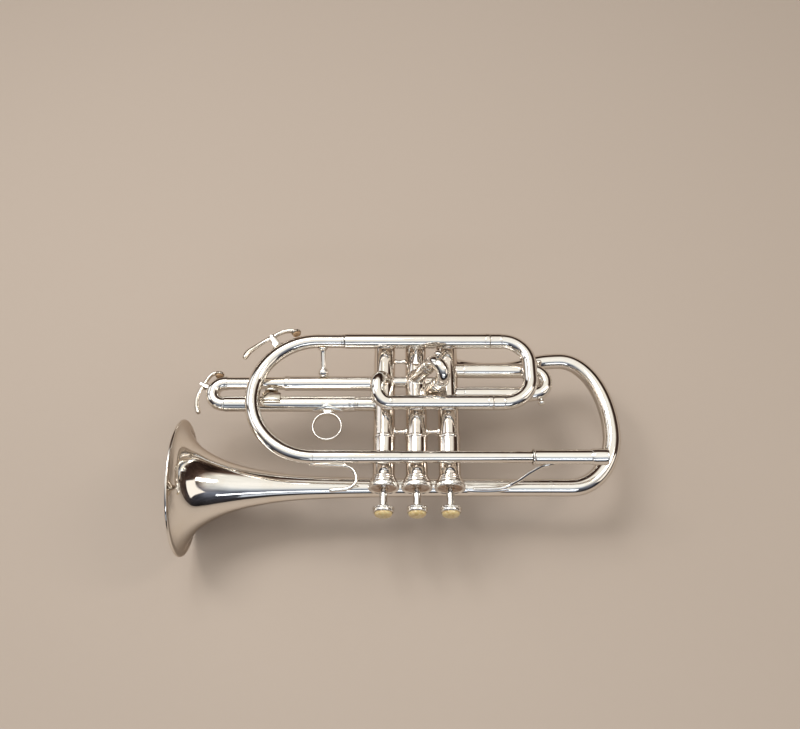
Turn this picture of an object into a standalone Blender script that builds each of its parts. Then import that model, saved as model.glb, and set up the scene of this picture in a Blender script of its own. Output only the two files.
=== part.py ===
"""B-flat cornet with a shepherd's crook and a rear main tuning slide, lying on its left side.

Instrument axes: +X toward the player's end (mouthpiece receiver), +Y toward the valve bottom
caps, +Z toward the player's right-hand side.  All numbers below are millimetres in a working
frame whose origin is on the axis of valve 2; SHIFT moves that frame so that the origin is
under the middle of the finished instrument.
"""
import bpy
import bmesh
import math
from mathutils import Matrix, Vector

MM = 0.001
SHIFT = (10.38, -48.19, 81.25)

# ---- driving dimensions (mm) -------------------------------------------------------------
GAP = 0.3                      # clearance between touching pieces
VALVE_X = (28.6, 0.0, -28.6)   # axes of valves 1, 2, 3
CASING_R, CASING_BORE = 9.55, 8.75
CASING_TOP, CASING_BOTTOM = 2.7, 143.6
PISTON_R = 8.4
STROKE = 15.5
TOP_CAP_R = 13.4
BUTTON_R = 9.3
STEM_R = 3.4

BELL_AXIS = (7.3, -21.5)       # y, z of the bell's axis
BELL_RIM_X = -206.6
LEADPIPE = (20.9, 17.0)        # y, z of the leadpipe's axis
UPPER_LEG = (134.2, 17.0)      # y, z of the main slide's upper leg
LOWER_LEG = (72.2, 17.0)       # y, z of the main slide's lower leg
OUTER_R, OUTER_WALL = 6.75, 0.55     # fixed slide tubes
INNER_R, INNER_WALL = 5.9, 0.5       # sliding inner tubes
BOW_R, BOW_WALL = 6.45, 0.5          # slide bows

FRONT_BOW_C = (-88.6, 77.55)
FRONT_BOW_R = 56.65
SLIDE1_Y = (112.5, 88.6)
SLIDE3_Y = (99.6, 78.9)
SLIDE2_DIR = Vector((0.42, 0.0, 0.9075)).normalized()
SLIDE2_A = Vector((-3.0, 102.0, 0.0))
SLIDE2_B = Vector((7.5, 86.4, 0.0))

# ---- scene set-up ------------------------------------------------------------------------
for _o in list(bpy.data.objects):
    bpy.data.objects.remove(_o, do_unlink=True)

PARTS = bpy.data.collections.new("cornet")
CUTTERS = bpy.data.collections.new("cutters")
bpy.context.scene.collection.children.link(PARTS)
bpy.context.scene.collection.children.link(CUTTERS)

FINISH = {
    "silver": ((0.86, 0.85, 0.82), 0.16, 1.0),
    "bright": ((0.90, 0.89, 0.87), 0.10, 1.0),
    "nickel": ((0.72, 0.70, 0.66), 0.24, 1.0),
    "monel": ((0.62, 0.60, 0.57), 0.30, 1.0),
    "steel": ((0.55, 0.55, 0.56), 0.35, 1.0),
    "pearl": ((0.78, 0.66, 0.42), 0.28, 0.0),
    "cork": ((0.55, 0.38, 0.22), 0.85, 0.0),
    "nylon": ((0.85, 0.84, 0.80), 0.5, 0.0),
}


def W(p):
    """Working-frame millimetres to metres in the finished frame."""
    return Vector(((p[0] + SHIFT[0]) * MM, (p[1] + SHIFT[1]) * MM, (p[2] + SHIFT[2]) * MM))


def finish(obj, name, kind):
    col, rough, metal = FINISH[kind]
    mat = bpy.data.materials.new(name + "_mat")
    mat.use_nodes = True
    b = mat.node_tree.nodes["Principled BSDF"]
    b.inputs["Base Color"].default_value = (*col, 1.0)
    b.inputs["Roughness"].default_value = rough
    b.inputs["Metallic"].default_value = metal
    mat.diffuse_color = (*col, 1.0)
    obj.data.materials.clear()
    obj.data.materials.append(mat)


def smooth(mesh, angle=40.0):
    mesh.shade_smooth()
    mesh.set_sharp_from_angle(angle=math.radians(angle))


def add(name, mesh, origin, kind, rot=(0.0, 0.0, 0.0), coll=None):
    obj = bpy.data.objects.new(name, mesh)
    (coll or PARTS).objects.link(obj)
    obj.location = W(origin)
    obj.rotation_euler = rot
    if kind:
        smooth(mesh)
        finish(obj, name, kind)
    return obj


def cutter(obj):
    for c in list(obj.users_collection):
        c.objects.unlink(obj)
    CUTTERS.objects.link(obj)
    obj.hide_render = True
    obj.display_type = "WIRE"
    return obj


# ---- curves ------------------------------------------------------------------------------
def swept_mesh(name, pts, radii, sides_res, origin, caps):
    """Round section along a poly-line; radii in mm, one per point."""
    cu = bpy.data.curves.new(name + "_curve", "CURVE")
    cu.dimensions = "3D"
    cu.fill_mode = "FULL"
    cu.bevel_depth = MM
    cu.bevel_resolution = sides_res
    cu.render_resolution_u = 0
    cu.use_fill_caps = caps
    cu.twist_mode = "MINIMUM"
    sp = cu.splines.new("POLY")
    sp.points.add(len(pts) - 1)
    for q, p, r in zip(sp.points, pts, radii):
        v = (Vector(p) - Vector(origin)) * MM
        q.co = (v.x, v.y, v.z, 1.0)
        q.radius = r
    tmp = bpy.data.objects.new(name + "_tmp", cu)
    PARTS.objects.link(tmp)
    dg = bpy.context.evaluated_depsgraph_get()
    dg.update()
    me = bpy.data.meshes.new_from_object(tmp.evaluated_get(dg))
    bpy.data.objects.remove(tmp, do_unlink=True)
    bpy.data.curves.remove(cu)
    bm = bmesh.new()
    bm.from_mesh(me)
    bmesh.ops.remove_doubles(bm, verts=bm.verts, dist=1e-6)
    bmesh.ops.recalc_face_normals(bm, faces=bm.faces)
    bm.to_mesh(me)
    bm.free()
    me.name = name
    return me


def outward(me, centre_line):
    """Turn an open tube's faces away from its centre line."""
    c0, c1 = Vector(centre_line[0]), Vector(centre_line[1])
    axis = (c1 - c0).normalized()
    poly = min(me.polygons, key=lambda f: (f.center - c0).length)
    radial = (poly.center - c0) - axis * (poly.center - c0).dot(axis)
    if poly.normal.dot(radial) < 0:
        bm = bmesh.new()
        bm.from_mesh(me)
        bmesh.ops.reverse_faces(bm, faces=bm.faces)
        bm.to_mesh(me)
        bm.free()


def tube(name, pts, radii, wall, kind, origin=None, sides=8):
    """Hollow tube; radii may be one number or one per point."""
    if not isinstance(radii, (list, tuple)):
        radii = [radii] * len(pts)
    origin = pts[0] if origin is None else origin
    me = swept_mesh(name, pts, radii, (sides - 4) // 2, origin, False)
    a = (Vector(pts[0]) - Vector(origin)) * MM
    b = (Vector(pts[1]) - Vector(origin)) * MM
    outward(me, (a, b))
    obj = add(name, me, origin, kind)
    so = obj.modifiers.new("wall", "SOLIDIFY")
    so.thickness = wall * MM
    so.offset = -1.0
    so.use_even_offset = True
    return obj


def rod(name, pts, radii, kind, origin=None, res=2):
    if not isinstance(radii, (list, tuple)):
        radii = [radii] * len(pts)
    origin = pts[0] if origin is None else origin
    me = swept_mesh(name, pts, radii, res, origin, True)
    return add(name, me, origin, kind)


# ---- turned pieces -----------------------------------------------------------------------
AXES = {
    "+Z": (0.0, 0.0, 0.0),
    "+X": (0.0, math.pi / 2, 0.0),
    "-X": (0.0, -math.pi / 2, 0.0),
    "-Y": (math.pi / 2, 0.0, 0.0),
    "+Y": (-math.pi / 2, 0.0, 0.0),
}


def turned(name, profile, steps, kind, origin, axis, coll=None):
    """Closed (r, h) outline in mm, turned about its own Z, laid along an axis."""
    area = 0.0
    n = len(profile)
    on_axis = [abs(p[0]) < 1e-9 for p in profile]
    for i in range(n):
        r0, h0 = profile[i]
        r1, h1 = profile[(i + 1) % n]
        area += r0 * h1 - r1 * h0
    pts = list(profile)
    if area > 0:
        pts = pts[::-1]
    # the outline runs down its outer side; an outline that starts and ends on the axis stays open
    open_ends = any(on_axis)
    if open_ends:
        k = 0
        m = len(pts)
        flags = [abs(p[0]) < 1e-9 for p in pts]
        for i in range(m):
            if flags[i] and not flags[(i + 1) % m]:
                k = i
                break
        pts = pts[k:] + pts[:k]
    me = bpy.data.meshes.new(name)
    bm = bmesh.new()
    vs = [bm.verts.new((r * MM, 0.0, h * MM)) for r, h in pts]
    for a, b in zip(vs, vs[1:]):
        bm.edges.new((a, b))
    if not open_ends:
        bm.edges.new((vs[-1], vs[0]))
    bm.to_mesh(me)
    bm.free()
    obj = bpy.data.objects.new(name, me)
    (coll or PARTS).objects.link(obj)
    obj.location = W(origin)
    obj.rotation_euler = AXES[axis] if isinstance(axis, str) else axis
    sc = obj.modifiers.new("turn", "SCREW")
    sc.axis = "Z"
    sc.angle = math.tau
    sc.screw_offset = 0.0
    sc.steps = steps
    sc.render_steps = steps
    sc.use_merge_vertices = True
    sc.merge_threshold = 0.00001
    sc.use_smooth_shade = True
    sc.use_normal_calculate = False
    if kind:
        finish(obj, name, kind)
    return obj


def box(name, lo, hi, kind, coll=None, bevel=0.0):
    me = bpy.data.meshes.new(name)
    bm = bmesh.new()
    bmesh.ops.create_cube(bm, size=1.0)
    c = [(a + b) / 2 for a, b in zip(lo, hi)]
    for v in bm.verts:
        v.co = Vector((v.co.x * (hi[0] - lo[0]), v.co.y * (hi[1] - lo[1]), v.co.z * (hi[2] - lo[2]))) * MM
    bm.to_mesh(me)
    bm.free()
    obj = add(name, me, c, kind, coll=coll)
    if bevel:
        bv = obj.modifiers.new("edges", "BEVEL")
        bv.width = bevel * MM
        bv.segments = 1
        bv.limit_method = "ANGLE"
    return obj


def cyl(name, p0, p1, r, sides, kind=None, coll=None, spin=0.06):
    """Solid cylinder between two points."""
    a, b = Vector(p0), Vector(p1)
    d = b - a
    me = bpy.data.meshes.new(name)
    bm = bmesh.new()
    bmesh.ops.create_cone(bm, cap_ends=True, segments=sides, radius1=r * MM, radius2=r * MM,
                          depth=d.length * MM)
    bmesh.ops.rotate(bm, verts=bm.verts, cent=(0, 0, 0), matrix=Matrix.Rotation(spin, 3, "Z"))
    bm.to_mesh(me)
    bm.free()
    obj = add(name, me, (a + b) / 2, kind, coll=coll)
    obj.rotation_euler = d.to_track_quat("Z", "Y").to_euler()
    return obj


def ball(name, c, r, coll=None, seg=10, rings=6):
    me = bpy.data.meshes.new(name)
    bm = bmesh.new()
    bmesh.ops.create_uvsphere(bm, u_segments=seg, v_segments=rings, radius=r * MM)
    bm.to_mesh(me)
    bm.free()
    return add(name, me, c, None, coll=coll)


def boolean(obj, other, op, solver="EXACT"):
    m = obj.modifiers.new(op.lower(), "BOOLEAN")
    m.operation = op
    m.object = cutter(other)
    m.solver = solver
    if solver == "EXACT":
        m.use_self = False
    return obj


def bake(obj):
    """Keep the evaluated shape as the object's own mesh."""
    dg = bpy.context.evaluated_depsgraph_get()
    dg.update()
    me = bpy.data.meshes.new_from_object(obj.evaluated_get(dg))
    obj.modifiers.clear()
    obj.data = me
    return obj


# ---- outlines ----------------------------------------------------------------------------
def line(p, q, n):
    p, q = Vector(p), Vector(q)
    return [tuple(p.lerp(q, i / n)) for i in range(n + 1)]


def arc(c, r, a0, a1, n, z):
    out = []
    for i in range(n + 1):
        a = math.radians(a0 + (a1 - a0) * i / n)
        out.append((c[0] + r * math.cos(a), c[1] + r * math.sin(a), z))
    return out


def bell_radius(x):
    tab = [(-206.6, 58.9), (-203.5, 51.5), (-199.0, 44.3), (-192.5, 37.0), (-184.0, 31.0), (-173.5, 25.6),
           (-164.0, 21.9), (-155.3, 19.3), (-146.5, 17.1), (-137.7, 15.4), (-128.9, 13.9), (-120.1, 12.6),
           (-102.6, 10.9), (-85.0, 9.9), (-67.5, 9.2), (-40.0, 8.6), (0.0, 8.1), (60.0, 7.7), (118.0, 7.6)]
    for (xa, ra), (xb, rb) in zip(tab, tab[1:]):
        if xa <= x <= xb:
            return ra + (rb - ra) * (x - xa) / (xb - xa)
    return tab[-1][1]


BELL_X = [-206.6, -203.5, -199.0, -192.5, -184.0, -173.5, -164.0, -155.3, -146.5, -137.7, -120.1,
          -102.6, -67.5, 0.0, 118.0]


def crook_path():
    """Centre line of the crook: bell stem round the back and down to valve 1's lowest port."""
    yb, zb = BELL_AXIS
    pts = [(118.3, yb, zb), (137.0, yb, zb)]
    c, a, lo, up = (137.0, 62.4), 41.7, 62.4 - yb, 71.6
    for i in range(1, 7):
        t = math.radians(-90 + 90 * i / 6)
        pts.append((c[0] + a * math.cos(t), c[1] + lo * math.sin(t), zb))
    for i in range(1, 8):
        t = math.radians(90 * i / 7)
        pts.append((c[0] + a * math.cos(t), c[1] + up * math.sin(t), zb))
    pts += [(121.0, 132.9, zb), (106.0, 129.3, zb), (92.0, 125.6, zb), (76.0, 123.9, -20.6),
            (60.0, 123.4, -18.6), (48.0, 123.4, -15.6), (39.0, 123.4, -11.8), (33.0, 123.4, -7.0)]
    return pts


def crook_radii(n):
    return [7.6 + 0.3 * math.sin(math.pi * min(1.0, i / (0.62 * n))) if i < 0.62 * n
            else 7.6 - 1.1 * (i - 0.62 * n) / (0.38 * n) for i in range(n)]


def main_bow_path():
    yu, yl, z = UPPER_LEG[0], LOWER_LEG[0], UPPER_LEG[1]
    rc, xr = 24.0, 102.0
    pts = [(67.9, yu, z), (77.2, yu, z)]
    pts += arc((xr - rc, yu - rc), rc, 90, 0, 5, z)
    pts += arc((xr - rc, yl + rc), rc, 0, -90, 5, z)
    pts += [(77.2, yl, z), (67.9, yl, z)]
    clean = [pts[0]]
    for p in pts[1:]:
        if (Vector(p) - Vector(clean[-1])).length > 0.7:
            clean.append(p)
    return clean


def cope(obj, valve_index, r=CASING_R + GAP, sides=24, y0=60.0, y1=140.0):
    x = VALVE_X[valve_index]
    c = cyl(obj.name + "_cope%d" % valve_index, (x, y0, 0), (x, y1, 0), r, sides)
    return boolean(obj, c, "DIFFERENCE")


# ---- bell and crook ----------------------------------------------------------------------
def build_bell():
    wall = 0.55
    outer = [(bell_radius(x), x - BELL_RIM_X) for x in BELL_X]
    inner = [(bell_radius(x) - wall * (1.25 if x < -150 else 1.0), x - BELL_RIM_X) for x in BELL_X]
    inner[0] = (bell_radius(BELL_X[0]) - 1.9, 0.35)
    prof = inner[::-1]
    prof += [(58.4, -0.75), (59.5, -0.45), (59.75, 0.35), (59.2, 1.0)]
    prof += outer[1:]
    turned("bell", prof, 26, "silver", (BELL_RIM_X, BELL_AXIS[0], BELL_AXIS[1]), "+X")


def build_crook():
    pts = crook_path()
    obj = tube("crook", pts, crook_radii(len(pts)), 0.55, "silver", origin=(137.0, 62.4, -21.5), sides=10)
    cope(obj, 0)


# ---- leadpipe, receiver, front bow and the main slide's outer tubes ------------------------
def build_leadpipe():
    y, z = LEADPIPE
    xs = [-88.3, -62.0, -13.9, -13.5, 98.3]
    rs = [5.85, 5.85, 5.6, 5.35, 5.05]
    tube("leadpipe", [(x, y, z) for x in xs], rs, 0.5, "silver", origin=(0, y, z))


def build_receiver():
    y, z = LEADPIPE
    prof = [(5.4, 0.0), (6.9, 0.0), (7.1, 0.7), (6.9, 1.6), (6.2, 2.2), (6.2, 36.0), (6.25, 50.4),
            (7.0, 51.1), (7.0, 63.9), (6.6, 64.5), (5.2, 64.5), (4.55, 40.0), (4.5, 10.0), (5.4, 10.0)]
    turned("mouthpiece_receiver", prof, 16, "bright", (98.6, y, z), "+X")


def build_front_bow():
    c, r, z = FRONT_BOW_C, FRONT_BOW_R, LEADPIPE[1]
    pts = [(-88.6, LEADPIPE[0], z)]
    pts += arc(c, r, -93.5, -266.5, 13, z)
    pts += [(-88.6, UPPER_LEG[0], z), (-65.3, UPPER_LEG[0], z)]
    radii = [5.9, 6.1, 6.3] + [6.45] * 10 + [6.3, 6.2, 6.1, 6.0]
    obj = tube("front_bow", pts, radii, 0.5, "silver", origin=(c[0] - r, c[1], z), sides=10)
    # saddle of the water key, soldered on the outside of the bow
    a = math.radians(126.0)
    ux, uy = math.cos(a), math.sin(a)
    for k, dz in enumerate((-3.1, 3.1)):
        b = box("bow_saddle_%d" % k, (-2.6, -1.0, -0.7), (2.6, 12.2, 0.7), None)
        b.location = W((c[0] + (r + 5.0) * ux + 5.6 * ux, c[1] + (r + 5.0) * uy + 5.6 * uy, WK1_Z + dz))
        b.rotation_euler = (0.0, 0.0, a - math.pi / 2)
        pin_hole(b)
        boolean(obj, b, "UNION")


def pin_hole(b):
    return b


WK1_Z = 19.0
WK1_A = math.radians(126.0)
WK1_PIVOT = (FRONT_BOW_C[0] + (FRONT_BOW_R + 16.4) * math.cos(WK1_A),
             FRONT_BOW_C[1] + (FRONT_BOW_R + 16.4) * math.sin(WK1_A), WK1_Z)


def build_main_outer():
    yu, z = UPPER_LEG
    tube("tuning_outer_upper", [(-64.9, yu, z), (-63.4, yu, z), (-62.9, yu, z), (62.8, yu, z), (63.2, yu, z), (67.5, yu, z)],
         [6.35, 6.75, 6.75, 6.75, 7.0, 7.0], 0.5, "silver", origin=(0, yu, z))
    yl = LOWER_LEG[0]
    tube("tuning_outer_lower", [(-21.3, yl, z), (62.8, yl, z), (63.2, yl, z), (67.5, yl, z)],
         [6.75, 6.75, 7.0, 7.0], 0.5, "silver", origin=(20, yl, z))


def knuckle_path():
    z = LOWER_LEG[1]
    return [(-21.7, 72.2, z), (-23.6, 72.2, z), (-27.6, 73.0, z + 0.3), (-31.2, 75.8, z + 0.9), (-33.8, 80.4, z + 1.7),
            (-34.6, 86.0, z + 2.4), (-34.4, 91.4, z + 2.4), (-33.2, 95.6, z + 0.6), (-31.2, 98.2, z - 3.0),
            (-29.4, 99.2, z - 7.6), (-28.8, 99.4, z - 12.6)]


def build_knuckle():
    pts = knuckle_path()
    obj = tube("valve3_inlet_knuckle", pts, [6.3, 6.3, 6.35, 6.4, 6.45, 6.5, 6.5, 6.4, 6.3, 6.15, 6.0], 0.5, "silver",
               origin=(-28.6, 72.2, 17.0))
    cope(obj, 2)


# ---- main tuning slide ---------------------------------------------------------------------
def build_main_slide():
    z = UPPER_LEG[1]
    origin = (60.0, (UPPER_LEG[0] + LOWER_LEG[0]) / 2, z)
    pts = main_bow_path()
    radii = [6.75, 6.75] + [BOW_R] * (len(pts) - 4) + [6.75, 6.75]
    tube("tuning_slide_bow", pts, radii, 0.5, "silver", origin=origin)
    for nm, (y, _), x0 in (("tuning_slide_leg_upper", UPPER_LEG, 0.0), ("tuning_slide_leg_lower", LOWER_LEG, 0.0)):
        tube(nm, [(x0, y, z), (40.0, y, z), (76.0, y, z)], INNER_R, INNER_WALL, "nickel", origin=origin)


# ---- valves --------------------------------------------------------------------------------
def build_valve(k):
    """k = 0, 1, 2 for valves 1, 2, 3; local h runs toward the finger button (-Y)."""
    x = VALVE_X[k]
    n = str(k + 1)
    o = (x, 0.0, 0.0)

    def H(y):
        return -y

    # casing: collar under the top cap, plain barrel with a turned ring, plain bottom
    prof = [(CASING_BORE, H(CASING_BOTTOM)), (CASING_BORE, H(1.2)), (9.4, H(1.2)), (9.4, H(CASING_TOP)), (12.2, H(CASING_TOP)),
            (12.2, H(5.0)), (10.5, H(7.0)), (CASING_R, H(9.8)), (CASING_R, H(44.2)), (10.2, H(45.4)),
            (CASING_R, H(46.6)), (CASING_R, H(138.4)), (9.35, H(138.8)), (9.35, H(CASING_BOTTOM))]
    cas = turned("casing_" + n, prof, 16, "silver", o, "-Y")
    ports = {0: [((x + 14, 112.5, 0), (x, 112.5, 0), 5.6), ((x + 14, 88.6, 0), (x, 88.6, 0), 5.6),
                 ((x - 14, 101.0, 0), (x, 101.0, 0), 4.4)],
             1: [((x - 14, 101.0, 0), (x + 14, 101.0, 0), 4.4),
                 ((x + 6, 102.0, 14), (x, 102.0, 1), 5.0)],
             2: [((x - 14, 99.6, 0), (x, 99.6, 0), 5.2), ((x - 14, 78.9, 0), (x, 78.9, 0), 5.2),
                 ((x + 14, 101.0, 0), (x, 101.0, 0), 4.4)]}[k]
    for i, (p0, p1, r) in enumerate(ports):
        boolean(cas, cyl("casing_%s_port%d" % (n, i), p0, p1, r, 10, spin=0.11), "DIFFERENCE")

    # top cap: knurled-looking rim, dished face, stem hole
    prof = [(3.75, H(-1.2)), (3.75, H(0.9)), (9.7, H(0.9)), (9.7, H(2.4)), (12.6, H(2.4)),
            (TOP_CAP_R, H(1.2)), (TOP_CAP_R, H(-1.6)), (12.4, H(-2.4)), (10.6, H(-1.5)),
            (7.6, H(-1.5)), (6.4, H(-2.0)), (4.8, H(-2.0))]
    turned("top_cap_" + n, prof, 18, "bright", o, "-Y")

    # bottom cap: screwed over the casing's end, raised finger ring and vent hole
    prof = [(9.65, H(139.1)), (10.3, H(139.1)), (10.9, H(139.8)), (10.9, H(143.0)), (10.0, H(145.0)),
            (5.0, H(146.4)), (4.4, H(148.4)), (2.6, H(148.4)), (2.2, H(145.6)), (8.6, H(144.0)), (9.65, H(144.0))]
    turned("bottom_cap_" + n, prof, 14, "bright", o, "-Y")

    # piston: spring barrel above, ported body below, hollow at the foot
    prof = [(0.0, H(71.0)), (6.4, H(70.0)), (7.2, H(68.5)), (7.2, H(21.6)), (2.6, H(21.6)), (2.6, H(19.4)),
            (7.8, H(19.4)), (8.2, H(20.0)), (8.2, H(69.4)), (PISTON_R, H(70.0)), (PISTON_R, H(127.0)), (7.9, H(127.6)),
            (6.6, H(127.6)), (6.6, H(124.6)), (0.0, H(124.6))]
    pis = turned("piston_" + n, prof, 14, "monel", o, "-Y")
    bores = {0: [(101.0, 0.0), (112.5, 35.0), (88.6, -35.0)],
             1: [(101.0, 0.0), (113.5, 60.0), (87.0, -60.0)],
             2: [(101.0, 0.0), (115.0, 40.0), (86.6, -40.0)]}[k]
    for i, (y, a) in enumerate(bores):
        dx, dz = math.cos(math.radians(a)), math.sin(math.radians(a))
        boolean(pis, cyl("piston_%s_bore%d" % (n, i), (x - 12 * dx, y, -12 * dz), (x + 12 * dx, y, 12 * dz), 4.6, 8),
                "DIFFERENCE")
    for i, s in enumerate((-1, 1)):
        boolean(pis, box("piston_%s_slot%d" % (n, i), (x + s * 9.5 - 3.5, 45.5, -2.0), (x + s * 9.5 + 3.5, 64.0, 2.0), None),
                "DIFFERENCE")

    # guide: fixed washer in the spring barrel with two ears through its slots
    gd = turned("spring_guide_" + n, [(3.6, H(62.6)), (6.8, H(62.6)), (6.8, H(61.0)), (3.6, H(61.0))], 12, "nylon", o, "-Y")
    for i, sgn in enumerate((-1, 1)):
        ear = box("spring_guide_%s_ear%d" % (n, i), (x + sgn * 7.2 - 1.2, 61.15, -1.6), (x + sgn * 7.2 + 1.2, 62.45, 1.6), None)
        boolean(gd, ear, "UNION")

    # coil spring between the guide and the barrel's top
    turns, per = 5.0, 8
    pts = []
    y0, y1 = 60.2, 22.5
    steps = int(turns * per)
    for i in range(steps + 1):
        a = math.tau * i / per
        pts.append((x + 5.6 * math.cos(a), y0 + (y1 - y0) * i / steps, 5.6 * math.sin(a)))
    rod("valve_spring_" + n, pts, 0.5, "steel", origin=(x, 61.0, 0.0), res=1)

    # finger button and its stem, one threaded assembly
    prof = [(0.0, H(19.1)), (STEM_R, H(19.1)), (STEM_R, H(-18.1)), (8.2, H(-18.1)), (9.0, H(-18.7)), (BUTTON_R, H(-19.6)),
            (8.7, H(-20.4)), (9.0, H(-21.4)), (8.9, H(-22.6)), (8.3, H(-23.2)), (7.95, H(-23.2)), (7.95, H(-21.4)),
            (0.0, H(-21.4))]
    turned("finger_button_" + n, prof, 14, "bright", o, "-Y")

    # pearl inlay, slightly domed
    prof = [(0.0, H(-21.7)), (7.65, H(-21.7)), (7.65, H(-23.4)), (6.4, H(-24.5)), (3.6, H(-25.1)), (0.0, H(-25.3))]
    turned("pearl_" + n, prof, 14, "pearl", o, "-Y")


def build_casing_links():
    # short tubes that carry the air from one casing to the next
    for nm, a, b in (("crossover_12", 1, 0), ("crossover_23", 2, 1)):
        xa, xb = VALVE_X[a], VALVE_X[b]
        obj = tube(nm, [(xa + 6.0, 101.0, 0), (xb - 6.0, 101.0, 0)], 5.0, 0.5, "silver", origin=((xa + xb) / 2, 101.0, 0))
        cope(obj, a)
        cope(obj, b)
    # waisted braces between the casings
    for nm, a, b, y in (("valve_brace_12", 1, 0, 51.4), ("valve_brace_23", 2, 1, 51.4)):
        xa, xb = VALVE_X[a], VALVE_X[b]
        xm = (xa + xb) / 2
        prof = [(0.0, -6.2), (4.0, -6.2), (3.9, -4.3), (2.2, -2.2), (1.9, 0.0), (2.2, 2.2), (3.9, 4.3), (4.0, 6.2), (0.0, 6.2)]
        obj = turned(nm, prof, 12, "silver", (xm, y, 0.0), "+X")
        cope(obj, a, y0=30.0)
        cope(obj, b, y0=30.0)


# ---- first slide ---------------------------------------------------------------------------
def build_slide1():
    ya, yb = SLIDE1_Y
    x0 = VALVE_X[0] + 6.0
    for nm, y in (("slide1_outer_upper", ya), ("slide1_outer_lower", yb)):
        o = tube(nm, [(x0, y, 0), (44.2, y, 0), (44.6, y, 0), (97.0, y, 0), (97.4, y, 0), (101.0, y, 0)],
                 [6.35, 6.35, OUTER_R, OUTER_R, 7.0, 7.0], OUTER_WALL, "silver", origin=(70, y, 0))
        cope(o, 0)
    yc, r = (ya + yb) / 2, (ya - yb) / 2
    pts = [(46.0, ya, 0), (101.3, ya, 0), (101.5, ya, 0), (105.0, ya, 0), (105.3, ya, 0)]
    pts += arc((106.2, yc), r, 90, -90, 8, 0)
    pts += [(105.3, yb, 0), (105.0, yb, 0), (101.5, yb, 0), (101.3, yb, 0), (46.0, yb, 0)]
    rad = [INNER_R, INNER_R, 6.75, 6.75, 6.2] + [6.2] * 9 + [6.2, 6.75, 6.75, INNER_R, INNER_R]
    obj = tube("first_slide", pts, rad, INNER_WALL, "silver", origin=(75.0, yc, 0))
    # pull knobs soldered on both corners of the bow
    top = turned("first_slide_knob_top", [(0.0, -1.2), (1.9, -1.2), (1.2, 2.0), (2.4, 2.9), (2.9, 4.4),
                                          (2.4, 6.1), (0.0, 7.1)], 8, None, (113.2, yc + 15.6, 0), "+Y")
    bot = turned("first_slide_knob_bottom", [(0.0, -1.2), (1.9, -1.2), (1.2, 2.0), (2.4, 2.9), (2.9, 4.4),
                                             (2.4, 6.1), (0.0, 7.1)], 8, None, (113.2, yc - 15.6, 0), "-Y")
    boolean(obj, top, "UNION")
    boolean(obj, bot, "UNION")


# ---- second slide --------------------------------------------------------------------------
def build_slide2():
    d = SLIDE2_DIR
    A, B = SLIDE2_A, SLIDE2_B
    for nm, P, s0, s1 in (("slide2_outer_upper", A, 3.0, 32.0), ("slide2_outer_lower", B, 1.0, 32.0 - (B - A).dot(d))):
        o = tube(nm, [tuple(P + d * s0), tuple(P + d * (s1 - 3.9)), tuple(P + d * (s1 - 3.6)), tuple(P + d * s1)],
                 [6.3, 6.3, 6.7, 6.7], OUTER_WALL, "silver", origin=tuple(P + d * 15.0))
        cope(o, 1)
    sep = (B - A) - d * (B - A).dot(d)
    R = sep.length / 2
    u = sep.normalized()
    tB = (B - A).dot(d)
    M = A + d * 38.5 + sep / 2
    pts = [tuple(A + d * 14.0), tuple(A + d * 32.3), tuple(A + d * 32.5), tuple(A + d * 36.0), tuple(A + d * 36.3)]
    for i in range(7):
        t = math.pi * i / 6
        pts.append(tuple(M - u * (R * math.cos(t)) + d * (R * math.sin(t))))
    for s in (36.3, 36.0, 32.5, 32.3, 14.0):
        pts.append(tuple(A + sep + d * s))
    rad = [5.2, 5.2, 6.5, 6.5, 6.0] + [6.0] * 7 + [6.0, 6.5, 6.5, 5.2, 5.2]
    obj = tube("second_slide", pts, rad, INNER_WALL, "silver", origin=tuple(A + d * 25.0 + sep / 2))
    kb = turned("second_slide_knob", [(0.0, -1.2), (1.9, -1.2), (1.2, 1.6), (2.4, 2.5), (3.0, 4.0),
                                      (2.4, 5.6), (0.0, 6.6)], 8, None, (0, 0, 0), "+Z")
    dirk = (d * 0.8 - u * 0.6).normalized()
    kb.location = W(tuple(M + dirk * (R + 5.3)))
    kb.rotation_euler = dirk.to_track_quat("Z", "Y").to_euler()
    boolean(obj, kb, "UNION")


# ---- third slide ---------------------------------------------------------------------------
S3_XC = -173.95


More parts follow.
